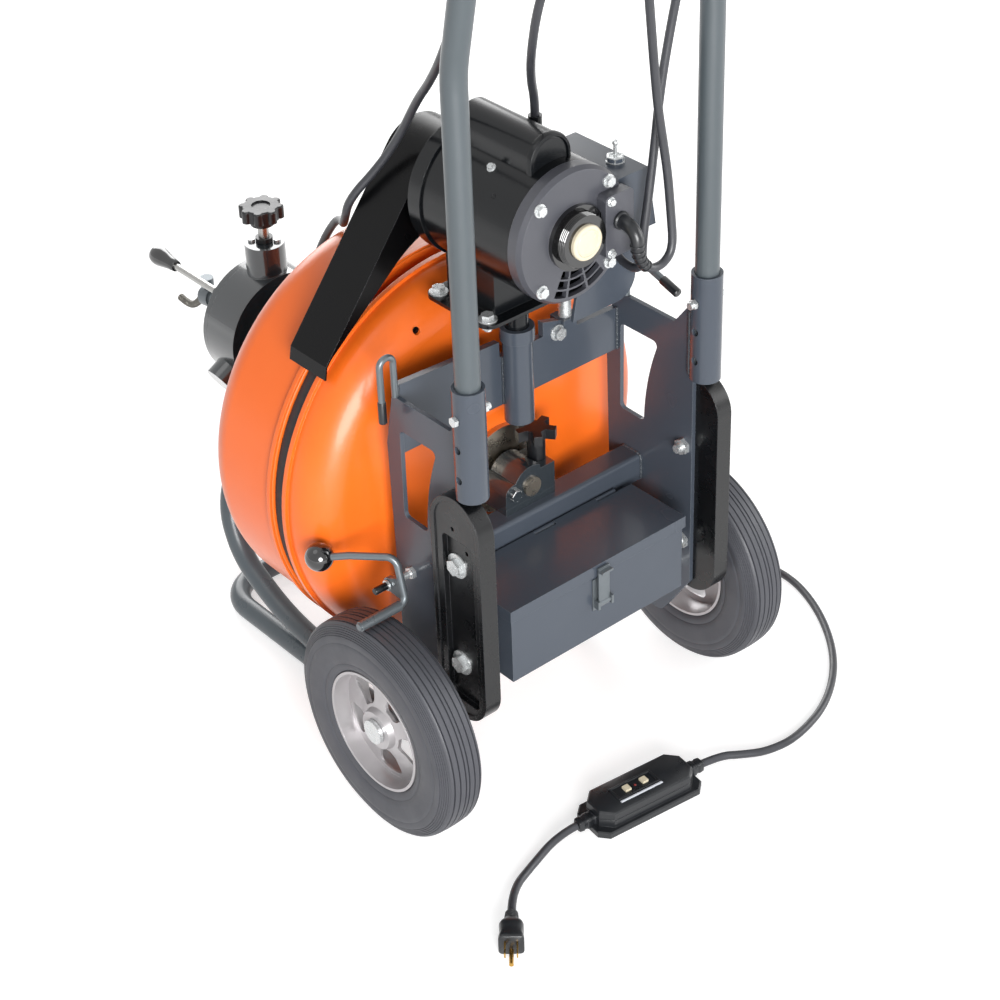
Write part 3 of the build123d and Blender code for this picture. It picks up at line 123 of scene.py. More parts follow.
# every finish is one dictionary: colours as hex, sizes of its patterns in millimetres
# mottle: slow change of tone, grain: fine bump, edge: worn corners, stretch: brushing along an axis
def makeFinish(name, look):
    made = bpy.data.materials.new(name)
    made.use_nodes = True
    tree = made.node_tree
    shader = tree.nodes["Principled BSDF"]
    where = addNode(tree, "ShaderNodeTexCoord").outputs["Object"]
    tone = addNode(tree, "ShaderNodeTexNoise",
                   {"Scale": 1 / (look["mottle"] * mm), "Detail": 3.0, "Roughness": 0.6}, {"Vector": where})
    colour = addNode(tree, "ShaderNodeMix",
                     {"data_type": "RGBA", 6: hexLinear(look["colour"]), 7: hexLinear(look["shade"])},
                     {0: tone.outputs["Fac"]}).outputs[2]
    turned = addNode(tree, "ShaderNodeMapping", {"Scale": look.get("stretch", (1, 1, 1))},
                     {"Vector": where}).outputs["Vector"]
    grain = addNode(tree, "ShaderNodeTexNoise",
                    {"Scale": 1 / (look["grain"] * mm), "Detail": 2.0}, {"Vector": turned})
    rough = addNode(tree, "ShaderNodeMapRange",
                    {"From Min": 0.3, "From Max": 0.7, "To Min": look["rough"][0], "To Max": look["rough"][1]},
                    {"Value": grain.outputs["Fac"] if "stretch" in look else tone.outputs["Fac"]}).outputs["Result"]
    bump = addNode(tree, "ShaderNodeBump", {"Strength": 1.0, "Distance": look["depth"] * mm},
                   {"Height": grain.outputs["Fac"]})
    if "rings" in look:    # fine lines turned or moulded round an axis
        at = look["rings"]
        centred = addNode(tree, "ShaderNodeMapping", {"vector_type": "POINT", "Location": -spot(*at["centre"])},
                          {"Vector": where})
        lines = addNode(tree, "ShaderNodeTexWave",
                        {"wave_type": "RINGS", "rings_direction": at["axis"], "Distortion": 0.0,
                         "Scale": 2 / (math.tau * at["pitch"] * mm)}, {"Vector": centred.outputs["Vector"]})
        lined = addNode(tree, "ShaderNodeBump", {"Strength": 1.0, "Distance": at["depth"] * mm},
                        {"Height": lines.outputs["Fac"]})
        tree.links.new(lined.outputs["Normal"], bump.inputs["Normal"])
    if "edge" in look:     # rounds the cut edges and lets the worn colour show there
        soft = addNode(tree, "ShaderNodeBevel", {"samples": 4, "Radius": look["edge"] * mm}).outputs["Normal"]
        tree.links.new(soft, bump.inputs["Normal"])
        face = addNode(tree, "ShaderNodeNewGeometry").outputs["Normal"]
        meet = mathNode(tree, "DOT_PRODUCT", soft, face, "VectorMath")
        rub = addNode(tree, "ShaderNodeMapRange", {"From Min": 0.98, "From Max": 0.80, "To Min": 0.0, "To Max": 1.0},
                      {"Value": meet})
        patch = mathNode(tree, "MULTIPLY", rub.outputs["Result"], tone.outputs["Fac"])
        share = mathNode(tree, "MULTIPLY", patch, look["wear"])
        colour = addNode(tree, "ShaderNodeMix", {"data_type": "RGBA", 7: hexLinear(look["worn"])},
                         {0: share, 6: colour}).outputs[2]
    tree.links.new(colour, shader.inputs["Base Color"])
    tree.links.new(rough, shader.inputs["Roughness"])
    tree.links.new(bump.outputs["Normal"], shader.inputs["Normal"])
    for socket, value in look.get("shader", {}).items():
        shader.inputs[socket].default_value = value
    return made


# heights of the axes that several pieces share
wheelZ, drumZ, motorZ = 127, 315.2, 645.0
finishes = {
    # stoved enamel on pressed steel: deep orange, soft gloss with a faint orange peel
    "orangeEnamel": {"colour": "#E66A1D", "shade": "#E06017", "mottle": 120, "grain": 2.6, "depth": 0.004,
                     "rough": (0.30, 0.36), "edge": 1.2, "wear": 0.4, "worn": "#F28F50",
                     "shader": {"Coat Weight": 0.1, "Coat Roughness": 0.10, "IOR": 1.46}},
    # slate enamel on welded plate: cool dark grey, glossy, rubbed bright on its cut edges
    "slateEnamel": {"colour": "#424851", "shade": "#3C424B", "mottle": 140, "grain": 2.4, "depth": 0.004,
                    "rough": (0.22, 0.28), "edge": 0.9, "wear": 0.7, "worn": "#8A9299",
                    "shader": {"Coat Weight": 0.1, "Coat Roughness": 0.06, "IOR": 1.38}},
    # powder coat on drawn tube: mid grey satin with a fine even pebble
    "greyPowder": {"colour": "#454C50", "shade": "#474E52", "mottle": 80, "grain": 0.9, "depth": 0.008,
                   "rough": (0.30, 0.38), "edge": 0.8, "wear": 0.5, "worn": "#8F9498",
                   "shader": {"IOR": 1.5}},
    # same coat on the skid and yoke, a darker batch with floor scuffs
    "skidPowder": {"colour": "#4C5459", "shade": "#41494E", "mottle": 45, "grain": 0.9, "depth": 0.008,
                   "rough": (0.24, 0.36), "edge": 0.8, "wear": 0.5, "worn": "#8D9497",
                   "shader": {"IOR": 1.5}},
    # black motor enamel on rolled shell: soft gloss with long highlights
    "motorBlack": {"colour": "#0E1013", "shade": "#0A0C0E", "mottle": 90, "grain": 2.4, "depth": 0.006,
                   "rough": (0.20, 0.26), "edge": 0.9, "wear": 0.4, "worn": "#4B4D52",
                   "shader": {"Coat Weight": 0.1, "Coat Roughness": 0.10, "IOR": 1.36}},
    # die-cast end bell, painted: greyer and a little pebbled
    "bellBlack": {"colour": "#46474D", "shade": "#3D3E44", "mottle": 40, "grain": 1.4, "depth": 0.012,
                  "rough": (0.30, 0.40), "edge": 1.0, "wear": 0.6, "worn": "#7C7D84",
                  "shader": {"IOR": 1.5}},
    # black paint on folded sheet: deep, with little mirroring
    "guardBlack": {"colour": "#050506", "shade": "#040405", "mottle": 80, "grain": 1.1, "depth": 0.01,
                   "rough": (0.24, 0.32), "edge": 0.9, "wear": 0.6, "worn": "#505257",
                   "shader": {"IOR": 1.26}},
    # moulded polyethylene runner: waxy black with flow marks and scuffs
    "glideBlack": {"colour": "#08090A", "shade": "#0D0E10", "mottle": 26, "grain": 0.8, "depth": 0.008,
                   "rough": (0.22, 0.34), "edge": 1.2, "wear": 0.6, "worn": "#4A4C51",
                   "shader": {"IOR": 1.48}},
    # phenolic ball and handle: deep black, polished
    "phenolicBlack": {"colour": "#0A0A0B", "shade": "#101011", "mottle": 20, "grain": 3.0, "depth": 0.002,
                      "rough": (0.06, 0.12), "shader": {"IOR": 1.6, "Coat Weight": 0.6, "Coat Roughness": 0.04}},
    # glass-filled nylon knob: satin black with a fine spark texture
    "knobBlack": {"colour": "#141518", "shade": "#101114", "mottle": 22, "grain": 0.7, "depth": 0.012,
                  "rough": (0.28, 0.38), "edge": 0.8, "wear": 0.5, "worn": "#4A4C51", "shader": {"IOR": 1.5}},
    # solid rubber tyre: bloomed grey-black, mould rings on the walls
    "tyreRubber": {"colour": "#414248", "shade": "#38393E", "mottle": 40, "grain": 0.9, "depth": 0.02,
                   "rough": (0.44, 0.58), "shader": {"IOR": 1.52},
                   "rings": {"centre": (0, 0, wheelZ), "axis": "X", "pitch": 1.6, "depth": 0.03}},
    # aluminium paint on a pressed hub: pale silver, fine flake
    "hubSilver": {"colour": "#B4B1B2", "shade": "#A5A2A4", "mottle": 18, "grain": 0.6, "depth": 0.01,
                  "rough": (0.28, 0.40), "edge": 0.8, "wear": 0.3, "worn": "#D6D4D4",
                  "shader": {"Metallic": 0.55}},
    # bright zinc plate on bolts: pale metal, faintly cloudy
    "zincPlate": {"colour": "#D2D4D4", "shade": "#BEC1C2", "mottle": 5, "grain": 0.5, "depth": 0.008,
                  "rough": (0.22, 0.34), "edge": 0.4, "wear": 0.4, "worn": "#E4E4E2", "shader": {"Metallic": 0.72}},
    # ground steel bar: drawn lines along its length
    "drawnSteel": {"colour": "#B4B3B0", "shade": "#9C9B99", "mottle": 14, "grain": 0.6, "depth": 0.01,
                   "rough": (0.22, 0.36), "stretch": (1, 0.06, 1), "shader": {"Metallic": 1.0}},
    # turned shaft end: rings left by the tool
    "turnedSteel": {"colour": "#C2B8A8", "shade": "#ADA294", "mottle": 12, "grain": 0.5, "depth": 0.006,
                    "rough": (0.24, 0.36), "shader": {"Metallic": 1.0},
                    "rings": {"centre": (0, 0, drumZ), "axis": "Y", "pitch": 1.2, "depth": 0.03}},
    # dull plated rod of the hooks and brake
    "greyRod": {"colour": "#6F7579", "shade": "#5E6468", "mottle": 20, "grain": 0.8, "depth": 0.008,
                "rough": (0.26, 0.40), "edge": 0.5, "wear": 0.5, "worn": "#A9AEB1",
                "shader": {"Metallic": 0.55}},
    # painted iron casting: dark slate, slightly lumpy skin
    "castSlate": {"colour": "#262C31", "shade": "#22282C", "mottle": 40, "grain": 3.2, "depth": 0.012,
                  "rough": (0.18, 0.26), "edge": 1.0, "wear": 0.6, "worn": "#7C8489",
                  "shader": {"Coat Weight": 0.9, "Coat Roughness": 0.08, "Coat IOR": 1.6}},
    # extruded vinyl jacket: soft black with a slight bloom
    "cordVinyl": {"colour": "#2A2B2F", "shade": "#323338", "mottle": 14, "grain": 0.7, "depth": 0.008,
                  "rough": (0.34, 0.46), "shader": {"IOR": 1.53}},
    # moulded vinyl of glands, plug and breaker: black, satin
    "mouldedVinyl": {"colour": "#15171A", "shade": "#1A1C1F", "mottle": 20, "grain": 0.7, "depth": 0.008,
                     "rough": (0.26, 0.36), "edge": 0.8, "wear": 0.5, "worn": "#43464B", "shader": {"IOR": 1.53}},
    # cord-covered rubber belt: dull black with cloth threads drawn coarse enough to see
    "beltCloth": {"colour": "#1B1B1C", "shade": "#26262A", "mottle": 8, "grain": 1.0, "depth": 0.06,
                  "rough": (0.6, 0.78), "shader": {"IOR": 1.5}},
    # urea moulding: cream, glossy
    "creamUrea": {"colour": "#CFC5AE", "shade": "#C4B99F", "mottle": 12, "grain": 1.5, "depth": 0.004,
                  "rough": (0.18, 0.28), "edge": 0.6, "wear": 0.4, "worn": "#A89A74", "shader": {"IOR": 1.55}},
    # rolled brass blades
    "plugBrass": {"colour": "#C9A25A", "shade": "#B48C45", "mottle": 6, "grain": 0.5, "depth": 0.006,
                  "rough": (0.2, 0.34), "shader": {"Metallic": 1.0}},
    # red lens of the pilot lamp
    "lampRed": {"colour": "#7A1410", "shade": "#5E0D0B", "mottle": 3, "grain": 0.5, "depth": 0.002,
                "rough": (0.1, 0.2), "shader": {"IOR": 1.5}},
    # weld bead under paint: slate, rippled
    "weldSlate": {"colour": "#373D44", "shade": "#2D3339", "mottle": 4, "grain": 0.8, "depth": 0.06,
                  "rough": (0.26, 0.42), "shader": {"IOR": 1.5}},
    # moulded bar beside the breaker's keys, pale grey as a painted highlight along the key panel's edge
    "ridgePaintedHighlight": {"colour": "#B9BCC2", "shade": "#ABAEB5", "mottle": 6, "grain": 0.5, "depth": 0.003,
                  "rough": (0.24, 0.34), "shader": {"IOR": 1.5}},
    # wound spring wire: oily grey steel
    "springWire": {"colour": "#77746E", "shade": "#5A5853", "mottle": 4, "grain": 0.6, "depth": 0.02,
                   "rough": (0.3, 0.46), "shader": {"Metallic": 0.9}},
}
materials = {name: makeFinish(name, look) for name, look in finishes.items()}
print("finishes made:", len(materials))

# which finish each CAD node wears
coats = {
    "orangeEnamel": ["drum_front", "drum_rear"],
    "slateEnamel": ["side_plate_left", "side_plate_right", "upper_cross_bar", "lower_cross_tube",
                    "toolbox_body", "toolbox_lid", "switch_box"],
    "greyPowder": ["handle"],
    "skidPowder": ["skid_tube", "feed_yoke"],
    "motorBlack": ["motor_shell", "motor_front_bell", "capacitor_cover", "motor_base"],
    "bellBlack": ["motor_rear_bell", "terminal_cover"],
    "guardBlack": ["belt_guard"],
    "glideBlack": ["stair_glide_left", "stair_glide_right"],
    "phenolicBlack": ["feed_lever_knob", "brake_knob"],
    "knobBlack": ["star_knob", "tension_knob"],
    "tyreRubber": ["tyre_left", "tyre_right"],
    "hubSilver": ["wheel_hub_left", "wheel_hub_right"],
    "zincPlate": ["hex_bolts", "toggle", "axle"],
    "drawnSteel": ["feed_roller_top", "feed_roller_left", "feed_roller_right", "motor_rotor"],
    "turnedSteel": ["drum_shaft"],
    "greyRod": ["cord_hooks", "brake_lever", "lid_latch", "latch_base", "nose_tube"],
    "castSlate": ["feed_housing", "feed_lever", "bearing_block", "motor_pulley"],
    "cordVinyl": ["mains_cord", "switch_lead", "plug_lead"],
    "mouldedVinyl": ["gfci_box", "plug", "strain_relief"],
    "beltCloth": ["drive_belt"],
    "creamUrea": ["motor_end_cap", "test_button", "reset_button"],
    "plugBrass": ["plug_pins"],
    "springWire": ["cable_coil", "drain_cable"],
}
for coat, names in coats.items():
    for name in names:
        nodes[name].data.materials.clear()
        nodes[name].data.materials.append(materials[coat])
bare = sorted(set(nodes) - {n for names in coats.values() for n in names})
print("coats on CAD nodes, left bare:", bare)


# a plain mesh object at the origin, smooth but sharp where faces meet at a corner
def makePiece(name, points, faces, coat, body, slot, sharp=38.0):
    data = bpy.data.meshes.new(name)
    data.from_pydata([tuple(p) for p in points], [], faces)
    return finishPiece(name, data, coat, body, sharp)


def finishPiece(name, data, coat, body, sharp=38.0):
    work = bmesh.new()
    work.from_mesh(data)
    bmesh.ops.remove_doubles(work, verts=work.verts, dist=1e-6)
    bmesh.ops.recalc_face_normals(work, faces=work.faces)
    work.to_mesh(data)
    work.free()
    data.shade_smooth()
    data.set_sharp_from_angle(angle=math.radians(sharp))
    data.materials.clear()
    data.materials.append(materials[coat])
    piece = link(bpy.data.objects.new(name, data))
    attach(piece, body)
    return piece


# turns an outline of (along, radius) round an axis; a closed outline is a ring, an open one ends on the axis
def turnedPoints(outline, centre, axis, steps):
    along = Vector(axis).normalized()
    side = along.orthogonal().normalized()
    other = along.cross(side)
    points, rows = [], []
    for run, radius in outline:
        base = centre + along * run * mm
        if radius == 0:
            rows.append([len(points)] * steps)
            points.append(base)
            continue
        rows.append(list(range(len(points), len(points) + steps)))
        for k in range(steps):
            angle = 2 * math.pi * k / steps
            points.append(base + (side * math.cos(angle) + other * math.sin(angle)) * radius * mm)
    return points, rows


def bridgeRows(rows, closed):
    faces = []
    pairs = list(zip(rows, rows[1:])) + ([(rows[-1], rows[0])] if closed else [])
    for low, high in pairs:
        for k in range(len(low)):
            n = (k + 1) % len(low)
            ring = [low[k], low[n], high[n], high[k]]
            face = [v for i, v in enumerate(ring) if v not in ring[:i]]
            if len(face) > 2:
                faces.append(face)
    return faces


def turnPiece(name, outline, centre, axis, coat, body, slot, closed=False, steps=64, sharp=38.0):
    points, rows = turnedPoints(outline, centre, axis, steps)
    return makePiece(name, points, bridgeRows(rows, closed), coat, body, slot, sharp)


# loops of equal count as one list of points, with a row of numbers for each loop
def stackLoops(loops):
    count = len(loops[0])
    rows = [list(range(i * count, (i + 1) * count)) for i in range(len(loops))]
    return [p for loop in loops for p in loop], rows


# a skin through loops of equal count, with both ends closed
def loftPiece(name, loops, coat, body, slot, sharp=38.0):
    points, rows = stackLoops(loops)
    faces = bridgeRows(rows, False) + [rows[0][::-1], rows[-1]]
    return makePiece(name, points, faces, coat, body, slot, sharp)


# a smooth curve through a route, as a cord or as a guide line
def splineObject(name, route):
    data = bpy.data.curves.new(name, "CURVE")
    data.dimensions = "3D"
    spline = data.splines.new("NURBS")
    spline.points.add(len(route) - 1)
    for point, place in zip(spline.points, route):
        point.co = (*spot(*place), 1.0)
    spline.order_u = 3
    spline.use_endpoint_u = True
    spline.resolution_u = 10
    return link(bpy.data.objects.new(name, data))


# points along a route's smooth line
def splinePoints(route):
    guide = splineObject("guide", route)
    bpy.context.view_layer.update()
    data = bpy.data.meshes.new_from_object(guide.evaluated_get(bpy.context.evaluated_depsgraph_get()))
    points = [v.co.copy() for v in data.vertices]
    bpy.data.objects.remove(guide)
    bpy.data.meshes.remove(data)
    return points


# round loops set square to a path, each with its own radius
def tubeLoops(points, radii, sides):
    loops = []
    ahead = (points[1] - points[0]).normalized()
    side = ahead.orthogonal().normalized()
    for k, point in enumerate(points):
        following = points[min(k + 1, len(points) - 1)] - points[max(k - 1, 0)]
        ahead = following.normalized()
        side = (side - ahead * side.dot(ahead)).normalized()
        other = ahead.cross(side)
        loops.append([point + (side * math.cos(2 * math.pi * s / sides) + other * math.sin(2 * math.pi * s / sides))
                      * radii[k] * mm for s in range(sides)])
    return loops


# Geometry Nodes: a tree with named inputs, run on a source mesh and kept as a plain mesh
def startTree(name, inputs):
    tree = bpy.data.node_groups.new(name, "GeometryNodeTree")
    tree.interface.new_socket(name="Geometry", in_out="OUTPUT", socket_type="NodeSocketGeometry")
    tree.interface.new_socket(name="Geometry", in_out="INPUT", socket_type="NodeSocketGeometry")
    for label, kind in inputs.items():
        tree.interface.new_socket(name=label, in_out="INPUT", socket_type="NodeSocket" + kind)
    return tree, addNode(tree, "NodeGroupInput").outputs


def endTree(tree, geometry, given):
    real = addNode(tree, "GeometryNodeRealizeInstances", None, {"Geometry": geometry})
    coated = addNode(tree, "GeometryNodeSetMaterial", None,
                     {"Geometry": real.outputs["Geometry"], "Material": given["Material"]})
    addNode(tree, "NodeGroupOutput", None, {"Geometry": coated.outputs["Geometry"]})
    return tree


def runTree(name, tree, points, edges, values, coat, body, slot, facing=None):
    data = bpy.data.meshes.new(name + "Source")
    data.from_pydata([tuple(p) for p in points], edges, [])
    if facing:
        held = data.attributes.new("facing", "FLOAT_VECTOR", "POINT")
        held.data.foreach_set("vector", [c for way in facing for c in way])
    source = link(bpy.data.objects.new(name + "Source", data))
    maker = source.modifiers.new("maker", "NODES")
    maker.node_group = tree
    values = {**values, "Material": materials[coat]}
    for item in tree.interface.items_tree:
        if item.in_out == "INPUT" and item.name in values:
            maker[item.identifier] = values[item.name]
    bpy.context.view_layer.update()
    made = bpy.data.meshes.new_from_object(source.evaluated_get(bpy.context.evaluated_depsgraph_get()))
    bpy.data.objects.remove(source)
    made.name = name
    return finishPiece(name, made, coat, body)


# the source mesh as a curve with even points, by count or by length
def evenPath(tree, given, mode, socket, label):
    path = addNode(tree, "GeometryNodeMeshToCurve", None, {"Mesh": given["Geometry"]})
    return addNode(tree, "GeometryNodeResampleCurve", {"mode": mode},
                   {"Curve": path.outputs["Curve"], socket: given[label]}).outputs["Curve"]


# spring wire wound round a path
windingTree, given = startTree("windingTree", {"Coil Radius": "Float", "Wire Radius": "Float", "Turns": "Float",
                                               "Steps": "Int", "Material": "Material"})
even = evenPath(windingTree, given, "COUNT", "Count", "Steps")
factor = addNode(windingTree, "GeometryNodeSplineParameter").outputs["Factor"]
turnShare = mathNode(windingTree, "MULTIPLY", factor, given["Turns"])
angle = mathNode(windingTree, "MULTIPLY", turnShare, 2 * math.pi)
across = mathNode(windingTree, "COSINE", angle)
upward = mathNode(windingTree, "SINE", angle)
normal = addNode(windingTree, "GeometryNodeInputNormal").outputs["Normal"]
tangent = addNode(windingTree, "GeometryNodeInputTangent").outputs["Tangent"]
cross = mathNode(windingTree, "CROSS_PRODUCT", tangent, normal, "VectorMath")
outA = mathNode(windingTree, "SCALE", normal, across, "VectorMath")
outB = mathNode(windingTree, "SCALE", cross, upward, "VectorMath")
outer = mathNode(windingTree, "ADD", outA, outB, "VectorMath")
shift = mathNode(windingTree, "SCALE", outer, given["Coil Radius"], "VectorMath")
coiled = addNode(windingTree, "GeometryNodeSetPosition", None, {"Geometry": even, "Offset": shift})
wire = addNode(windingTree, "GeometryNodeCurvePrimitiveCircle", {"Resolution": 6}, {"Radius": given["Wire Radius"]})
tube = addNode(windingTree, "GeometryNodeCurveToMesh", {"Fill Caps": True},
               {"Curve": coiled.outputs["Geometry"], "Profile Curve": wire.outputs["Curve"]})
endTree(windingTree, tube.outputs["Mesh"], given)

# weld bead: overlapping drops along a seam
beadTree, given = startTree("beadTree", {"Radius": "Float", "Spacing": "Float", "Seed": "Int",
                                         "Material": "Material"})
even = evenPath(beadTree, given, "LENGTH", "Length", "Spacing")
drop = addNode(beadTree, "GeometryNodeMeshUVSphere", {"Segments": 10, "Rings": 6}, {"Radius": given["Radius"]})
size = addNode(beadTree, "FunctionNodeRandomValue", {"data_type": "FLOAT", 2: 0.85, 3: 1.15},
               {"Seed": given["Seed"]})
drops = addNode(beadTree, "GeometryNodeInstanceOnPoints", None,
                {"Points": even, "Instance": drop.outputs["Mesh"], "Scale": size.outputs[1]})
endTree(beadTree, drops.outputs["Instances"], given)

# hex screws with washers, set on points that carry their own direction
screwTree, given = startTree("screwTree", {"Head": "Float", "Height": "Float", "Washer": "Float",
                                           "Material": "Material"})
head = addNode(screwTree, "GeometryNodeMeshCylinder", {"Vertices": 6, "fill_type": "NGON"},
               {"Radius": given["Head"], "Depth": given["Height"]})
raised = mathNode(screwTree, "MULTIPLY", given["Height"], 0.75)
lift = addNode(screwTree, "ShaderNodeCombineXYZ", None, {"Z": raised})
headUp = addNode(screwTree, "GeometryNodeTransform", None,
                 {"Geometry": head.outputs["Mesh"], "Translation": lift.outputs[0]})
thin = mathNode(screwTree, "MULTIPLY", given["Height"], 0.4)
disc = addNode(screwTree, "GeometryNodeMeshCylinder", {"Vertices": 20, "fill_type": "NGON"},
               {"Radius": given["Washer"], "Depth": thin})
screw = addNode(screwTree, "GeometryNodeJoinGeometry", None, {"Geometry": headUp.outputs["Geometry"]})
screwTree.links.new(disc.outputs["Mesh"], screw.inputs["Geometry"])
facing = addNode(screwTree, "GeometryNodeInputNamedAttribute", {"data_type": "FLOAT_VECTOR", "Name": "facing"})
aimed = addNode(screwTree, "FunctionNodeAlignRotationToVector", {"axis": "Z"},
                {"Vector": facing.outputs["Attribute"]})
screws = addNode(screwTree, "GeometryNodeInstanceOnPoints", None,
                 {"Points": given["Geometry"], "Instance": screw.outputs["Geometry"],
                  "Rotation": aimed.outputs["Rotation"]})
endTree(screwTree, screws.outputs["Instances"], given)

# moulded ribs round a gland, shrinking towards the cord
ribTree, given = startTree("ribTree", {"Ring": "Float", "Thick": "Float", "Count": "Int", "Small": "Float",
                                       "Material": "Material"})
even = evenPath(ribTree, given, "COUNT", "Count", "Count")
loop = addNode(ribTree, "GeometryNodeCurvePrimitiveCircle", {"Resolution": 28}, {"Radius": given["Ring"]})
bead = addNode(ribTree, "GeometryNodeCurvePrimitiveCircle", {"Resolution": 8}, {"Radius": given["Thick"]})
ring = addNode(ribTree, "GeometryNodeCurveToMesh", None,
               {"Curve": loop.outputs["Curve"], "Profile Curve": bead.outputs["Curve"]})
tangent = addNode(ribTree, "GeometryNodeInputTangent").outputs["Tangent"]
aimed = addNode(ribTree, "FunctionNodeAlignRotationToVector", {"axis": "Z"}, {"Vector": tangent})
factor = addNode(ribTree, "GeometryNodeSplineParameter").outputs["Factor"]
taper = addNode(ribTree, "ShaderNodeMapRange", {"To Min": 1.0}, {"Value": factor, "To Max": given["Small"]})
ribs = addNode(ribTree, "GeometryNodeInstanceOnPoints", None,
               {"Points": even, "Instance": ring.outputs["Mesh"],
                "Rotation": aimed.outputs["Rotation"], "Scale": taper.outputs["Result"]})
endTree(ribTree, ribs.outputs["Instances"], given)
print("node trees built")


def chain(count, start=0):
    return [(start + k, start + k + 1) for k in range(count - 1)]


# cords: the same routes as the part's solids, on one smooth line each
floorZ = 4.6
mainsLook = {"diameter": 9.0, "length": 3.141, "route": [
    (60.1, -92, 603.9), (66.5, -92, 597.5), (84.7, -92, 597.5), (97.6, -91, 610.4), (97, -88, 645), (94, -86, 690),
    (88, -85, 727), (80, -86, 765), (70, -91, 812), (55, -101, 872), (36, -114, 945), (10, -134, 1035),
    (-14, -158, 1120), (-24, -174, 1165), (-36, -167, 1197), (-56, -142, 1208), (-76, -114, 1196), (-90, -106, 1160),
    (-97, -92, 1085), (-96, -58, 1000), (-89, -8, 905), (-74, 44, 824), (-58, 86, 778), (-48, 120, 745),
    (-48, 150, 697), (-62, 170, 660), (-88, 190, 625), (-86, 203, 595), (-70, 228, 575.2), (-50, 258, 562.2),
    (-38, 288, 544.2), (-40, 314, 506.2), (-44, 338, 450.2), (-56, 358, 390), (-68, 368, 320), (-70, 378, 220),
    (-58, 382, 115), (-30, 378, 42), (10, 362, floorZ), (54, 322, floorZ), (78, 268, floorZ), (90, 222, 14),
    (112, 192, 34), (138, 172, 41), (164, 154, 34), (190, 140, 14), (226, 130, floorZ), (276, 126, floorZ),
    (326, 116, floorZ), (370, 82, floorZ), (396, 11, floorZ), (372, -67, floorZ), (319, -144, floorZ),
    (252, -194, floorZ), (182, -213, floorZ), (140, -207, floorZ), (112, -194, 8), (88.5, -181.5, 12),
    (57.3, -176.8, 12)]}
switchLook = {"diameter": 9.0, "length": 1.256, "route": [
    (82, -20, 602.9), (82, -20, 579), (79, -66, 577), (79, -67, 617), (86, -67, 657), (94, -67, 710), (100, -68, 770),
    (111, -73, 845), (114, -90, 925), (106, -112, 1005), (94, -138, 1085), (84, -164, 1140), (78, -174, 1172),
    (68, -162, 1200), (56, -138, 1207), (44, -113, 1193), (36, -105, 1155), (22, -88, 1080), (0, -62, 985),
    (-20, -34, 890), (-8, -6, 822), (14, 20, 778), (30, 34, 752), (30, 34, 733.1)]}
plugLook = {"diameter": 9.0, "length": 0.153, "route": [
    (-102.8, -158.3, 12), (-128, -155.5, 11), (-172, -166, 5.6), (-217, -184.3, 11), (-239.8, -210.3, 13.5)]}


def makeCord(name, look, node):
    piece = splineObject(name, look["route"])
    piece.data.bevel_depth = look["diameter"] / 2 * mm
    piece.data.bevel_resolution = 5
    piece.data.use_fill_caps = True
    piece.data.materials.append(materials["cordVinyl"])
    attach(piece, "frame")
    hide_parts(node)
    return piece


mainsLead = makeCord("mainsLead", mainsLook, "mains_cord")
switchLead = makeCord("switchLead", switchLook, "switch_lead")
plugLead = makeCord("plugLead", plugLook, "plug_lead")
print("cords laid")

# moulded elbow: thick at the terminal cover, thinning to the cord, with ribs on its last third
elbowLook = {"route": [(48, -68, 650), (48, -92, 650), (48, -92, 616), (60.1, -92, 603.9)],
             "startRadius": 7.6, "endRadius": 5.6, "sides": 24,
             "ribs": 6, "ribRing": 6.6, "ribThick": 0.9, "ribEnd": 0.86,
             "collar": [(0, 0), (0, 9.5), (2.6, 9.5), (4, 8.2), (4, 0)]}
elbowLine = splinePoints(elbowLook["route"])
elbowThin = (elbowLook["endRadius"] - elbowLook["startRadius"]) / (len(elbowLine) - 1)
elbowRadii = [elbowLook["startRadius"] + elbowThin * k for k in range(len(elbowLine))]
elbowLoops = tubeLoops(elbowLine, elbowRadii, elbowLook["sides"])
elbowBoot = loftPiece("elbowBoot", elbowLoops, "mouldedVinyl", "frame", "rubber")
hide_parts("strain_relief")
lastPart = elbowLine[len(elbowLine) // 2:]
runTree("elbowRibs", ribTree, lastPart, chain(len(lastPart)),
        {"Ring": elbowLook["ribRing"] * mm, "Thick": elbowLook["ribThick"] * mm, "Count": elbowLook["ribs"],
         "Small": elbowLook["ribEnd"]}, "mouldedVinyl", "frame", "rubber")
turnPiece("elbowCollar", elbowLook["collar"], spot(*elbowLook["route"][0]), (0, -1, 0),
          "mouldedVinyl", "frame", "rubber", steps=32)

# coat, body and slot of the black mouldings
moulding = ("mouldedVinyl", "frame", "black_plastic")
